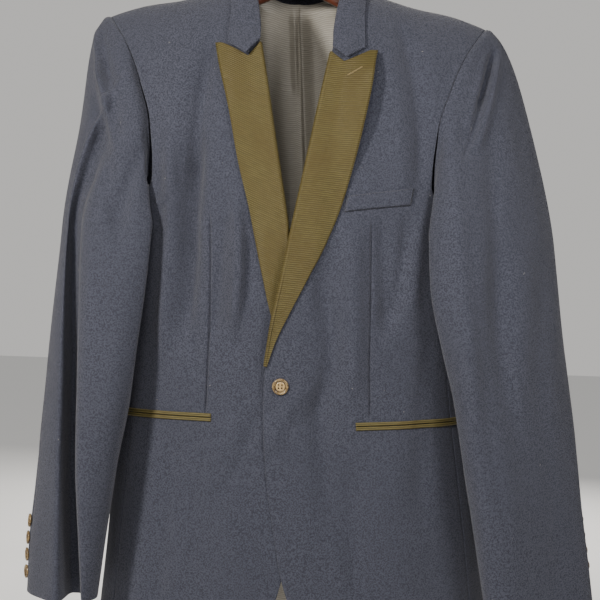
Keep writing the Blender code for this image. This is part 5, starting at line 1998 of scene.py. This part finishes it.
@dataclass(frozen=True)
class ThreadFinish(RibbedFinish):
    """Twisted sewing thread."""

    worn_share: float = 0.0
    pitch: float = 0.0005
    depth: float = 0.0001
    broken: float = 0.2
    rough: tuple = (0.75, 0.6)
    shine: tuple = ()


@dataclass(frozen=True)
class HornFinish:
    """Polished mottled horn with a paler middle, with painted shade in the groove round it and in its four holes."""

    name: str
    middle: tuple
    dark: tuple = (0.020, 0.012, 0.007)
    mid: tuple = (0.210, 0.130, 0.055)
    pale: tuple = (0.480, 0.350, 0.170)
    middle_reach: float = 0.56

    def material(self, effects: Effects) -> Material:
        """The finish as a material."""
        look = Look(self.name, effects)
        tone = look.tone(look.place, 520.0)
        far = look.vector("LENGTH", look.cloth).outputs["Value"]
        rim = look.over(look.blend(tone, self.dark, self.mid), look.tone(look.place, 180.0), 0.55, self.pale)
        centre = look.blend(look.sum("MULTIPLY", tone, 0.4), self.middle, self.mid)
        colour = look.blend(look.range(far, self.middle_reach - 0.03, self.middle_reach + 0.01), centre, rim)
        # Painted shade: the groove round the middle is painted dark, as if it lay in shadow.
        groove = look.sum("ABSOLUTE", look.sum("SUBTRACT", far, self.middle_reach + 0.05))
        colour = look.blend(look.range(groove, 0.02, 0.06, 0.9, 0.0), colour, self.dark)
        # Painted shade: the four holes are only shallow dips, painted dark as if they were deep and in shadow.
        quarter = look.vector("ABSOLUTE", look.cloth).outputs[0]
        from_hole = look.vector("DISTANCE", quarter, in_1=(0.20, 0.20, 0.0)).outputs["Value"]
        colour = look.blend(look.range(from_hole, 0.075, 0.10, 1.0, 0.0), colour, self.dark)
        return look.done(colour, (tone, 0.22, 0.34), tone, 0.00005, Coat_Weight=0.25, Coat_Roughness=0.15)


@dataclass(frozen=True)
class WoodFinish:
    """Mahogany-coloured wood under clear lacquer."""

    dark: tuple = (0.040, 0.010, 0.006)
    pale: tuple = (0.165, 0.048, 0.026)

    def material(self, effects: Effects) -> Material:
        """The finish as a material."""
        look = Look("wood", effects)
        long = look.add("Mapping", Vector=look.place, Scale=(9.0, 130.0, 130.0))
        grain = look.add("TexNoise", Vector=long.outputs[0], Scale=1.0, Detail=5.0, Roughness=0.6).outputs["Fac"]
        streak = look.range(grain, 0.35, 0.65)
        colour = look.over(look.blend(streak, self.dark, self.pale), look.tone(look.place, 14.0), 0.35, self.dark)
        return look.done(colour, (streak, 0.30, 0.42), grain, 0.0002, Coat_Weight=0.5, Coat_Roughness=0.12)


@dataclass(frozen=True)
class SteelFinish:
    """Bright steel wire, finely brushed and a little marked."""

    bright: tuple = (0.72, 0.72, 0.73)
    dull: tuple = (0.48, 0.48, 0.49)

    def material(self, effects: Effects) -> Material:
        """The finish as a material."""
        look = Look("steel", effects)
        tone = look.tone(look.place, 240.0)
        colour = look.blend(look.sum("MULTIPLY", tone, 0.5), self.bright, self.dull)
        return look.done(colour, (tone, 0.16, 0.30), tone, 0.00004, Metallic=1.0)


@dataclass(frozen=True)
class FloorFinish:
    """Plain pale studio paper."""

    pale: tuple = (0.80, 0.79, 0.77)
    deep: tuple = (0.76, 0.75, 0.73)

    def material(self, effects: Effects) -> Material:
        """The finish as a material."""
        look = Look("paper", effects)
        colour = look.blend(look.tone(look.place, 3.0), self.pale, self.deep)
        glow = look.sum("MULTIPLY", look.add("LightPath").outputs["Is Camera Ray"], 0.45)
        shine = {"Roughness": 0.95, "Emission_Color": self.pale, "Emission_Strength": glow}
        look.join(look.shader, {"Base_Color": colour, **shine})
        return look.made


class Lamp(NamedTuple):
    """A soft round light."""

    name: str
    at: tuple
    size: float
    power: float
    colour: tuple


LAMPS = rows_of(
    Lamp,
    ("near", (-0.12, -0.92, -0.06), 0.35, 3.2, (1.0, 0.955, 0.88)),
    ("key", (-0.98, -1.25, 0.06), 0.22, 26.0, (1.0, 0.955, 0.88)),
    ("fill", (0.55, -0.72, -0.12), 0.40, 4.6, (1.0, 0.97, 0.93)),
    ("rear", (0.3, 2.0, 0.35), 1.6, 55.0, (1.0, 0.97, 0.93)),
)


@dataclass
class Studio:
    """The pale floor, the soft lights and the camera."""

    floor_finish: Material
    floor_down: float = 1.05
    floor_reach: float = 9.0
    sky: float = 0.07
    sky_seen: float = 0.62
    sky_colour: tuple = (0.93, 0.91, 0.88)
    camera_at: tuple = (0.0142, -1.185, -0.475)
    lens: float = 59.46
    shift: float = 10 / 600
    roll: float = 2.0

    @staticmethod
    def put(name: str, data: bpy.types.ID, at: tuple, turn: Euler) -> Thing:
        """A light or camera in its place."""
        made = bpy.data.objects.new(name, data)
        made.location, made.rotation_euler = at, turn
        bpy.context.scene.collection.objects.link(made)
        return made

    def light(self, lamp: Lamp) -> None:
        """One soft light, turned towards the jacket."""
        data = bpy.data.lights.new(lamp.name, "AREA")
        data.shape, data.size, data.energy, data.color = "DISK", lamp.size, lamp.power, lamp.colour
        aim = Vector((0.0, 0.0, -0.45)) - Vector(lamp.at)
        self.put(lamp.name, data, lamp.at, aim.to_track_quat("-Z", "Y").to_euler()).visible_camera = False

    def build(self) -> None:
        """Makes the floor, the lights and the camera."""
        reach = self.floor_reach
        corners = [(-reach, -reach), (reach, -reach), (reach, reach), (-reach, reach)]
        floor = mesh_object("floor", np.array([(x, y, -self.floor_down) for x, y in corners]), [(0, 1, 2, 3)])
        floor.data.materials.append(self.floor_finish)
        for lamp in LAMPS:
            self.light(lamp)
        sky = bpy.data.worlds.new("studio")
        sky.use_nodes = True
        seen = Nodes(sky.node_tree)
        by_camera = seen.add("LightPath").outputs["Is Camera Ray"]
        strength = seen.sum("MULTIPLY_ADD", by_camera, self.sky_seen - self.sky, self.sky)
        seen.join(sky.node_tree.nodes["Background"], {"Color": self.sky_colour, "Strength": strength})
        eye = bpy.data.cameras.new("camera")
        eye.lens, eye.sensor_width, eye.shift_y = self.lens, 36.0, self.shift
        turn = Matrix.Rotation(math.radians(90), 4, "X") @ Matrix.Rotation(math.radians(self.roll), 4, "Z")
        bpy.context.scene.world = sky
        bpy.context.scene.camera = self.put("camera", eye, self.camera_at, turn.to_euler())


def write_size() -> None:
    """Updates the view layer."""
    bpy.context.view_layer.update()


def main() -> None:
    """Builds the jacket, its hanger and the studio."""
    logging.basicConfig(level=logging.INFO, format="%(message)s")
    effects = Effects()
    wool = Fabric(WoolFinish().material(effects), Slot.WOOL, CLOTH, "cloth")
    grosgrain = Fabric(RibbedFinish("grosgrain").material(effects), Slot.SILK, SILK, "silk")
    jet_finish = RibbedFinish("jet silk", low=(0.060, 0.050, 0.018), high=(0.165, 0.140, 0.056))
    jet_silk = Fabric(jet_finish.material(effects), Slot.SILK, SILK, "silk")
    lining = Fabric(LiningFinish().material(effects), Slot.LINING, LINING_THICK, "cloth")
    horn = HornFinish("horn", middle=(0.52, 0.37, 0.18)).material(effects)
    cuff_horn = HornFinish("cuff horn", middle=(0.16, 0.095, 0.040)).material(effects)
    hole_thread = ThreadFinish("hole thread", (0.090, 0.066, 0.024), (0.26, 0.20, 0.09)).material(effects)
    sewing = ThreadFinish("sewing thread", (0.02, 0.018, 0.016), (0.08, 0.07, 0.06)).material(effects)
    torso = Torso()
    Panels(torso, wool).build()
    Lapels(torso, grosgrain, hole_thread).build()
    Collar(torso, wool).build()
    for side in Side:
        Sleeve(torso, side, wool).build()
    Pockets(torso, jet_silk, wool).build()
    Buttons(horn, cuff_horn, sewing).build()
    Lining(torso, lining).build()
    Hanger(WoodFinish().material(effects), SteelFinish().material(effects)).build()
    Studio(FloorFinish().material(effects)).build()
    bpy.context.view_layer.update()
    write_size()


if __name__ == "__main__":
    main()
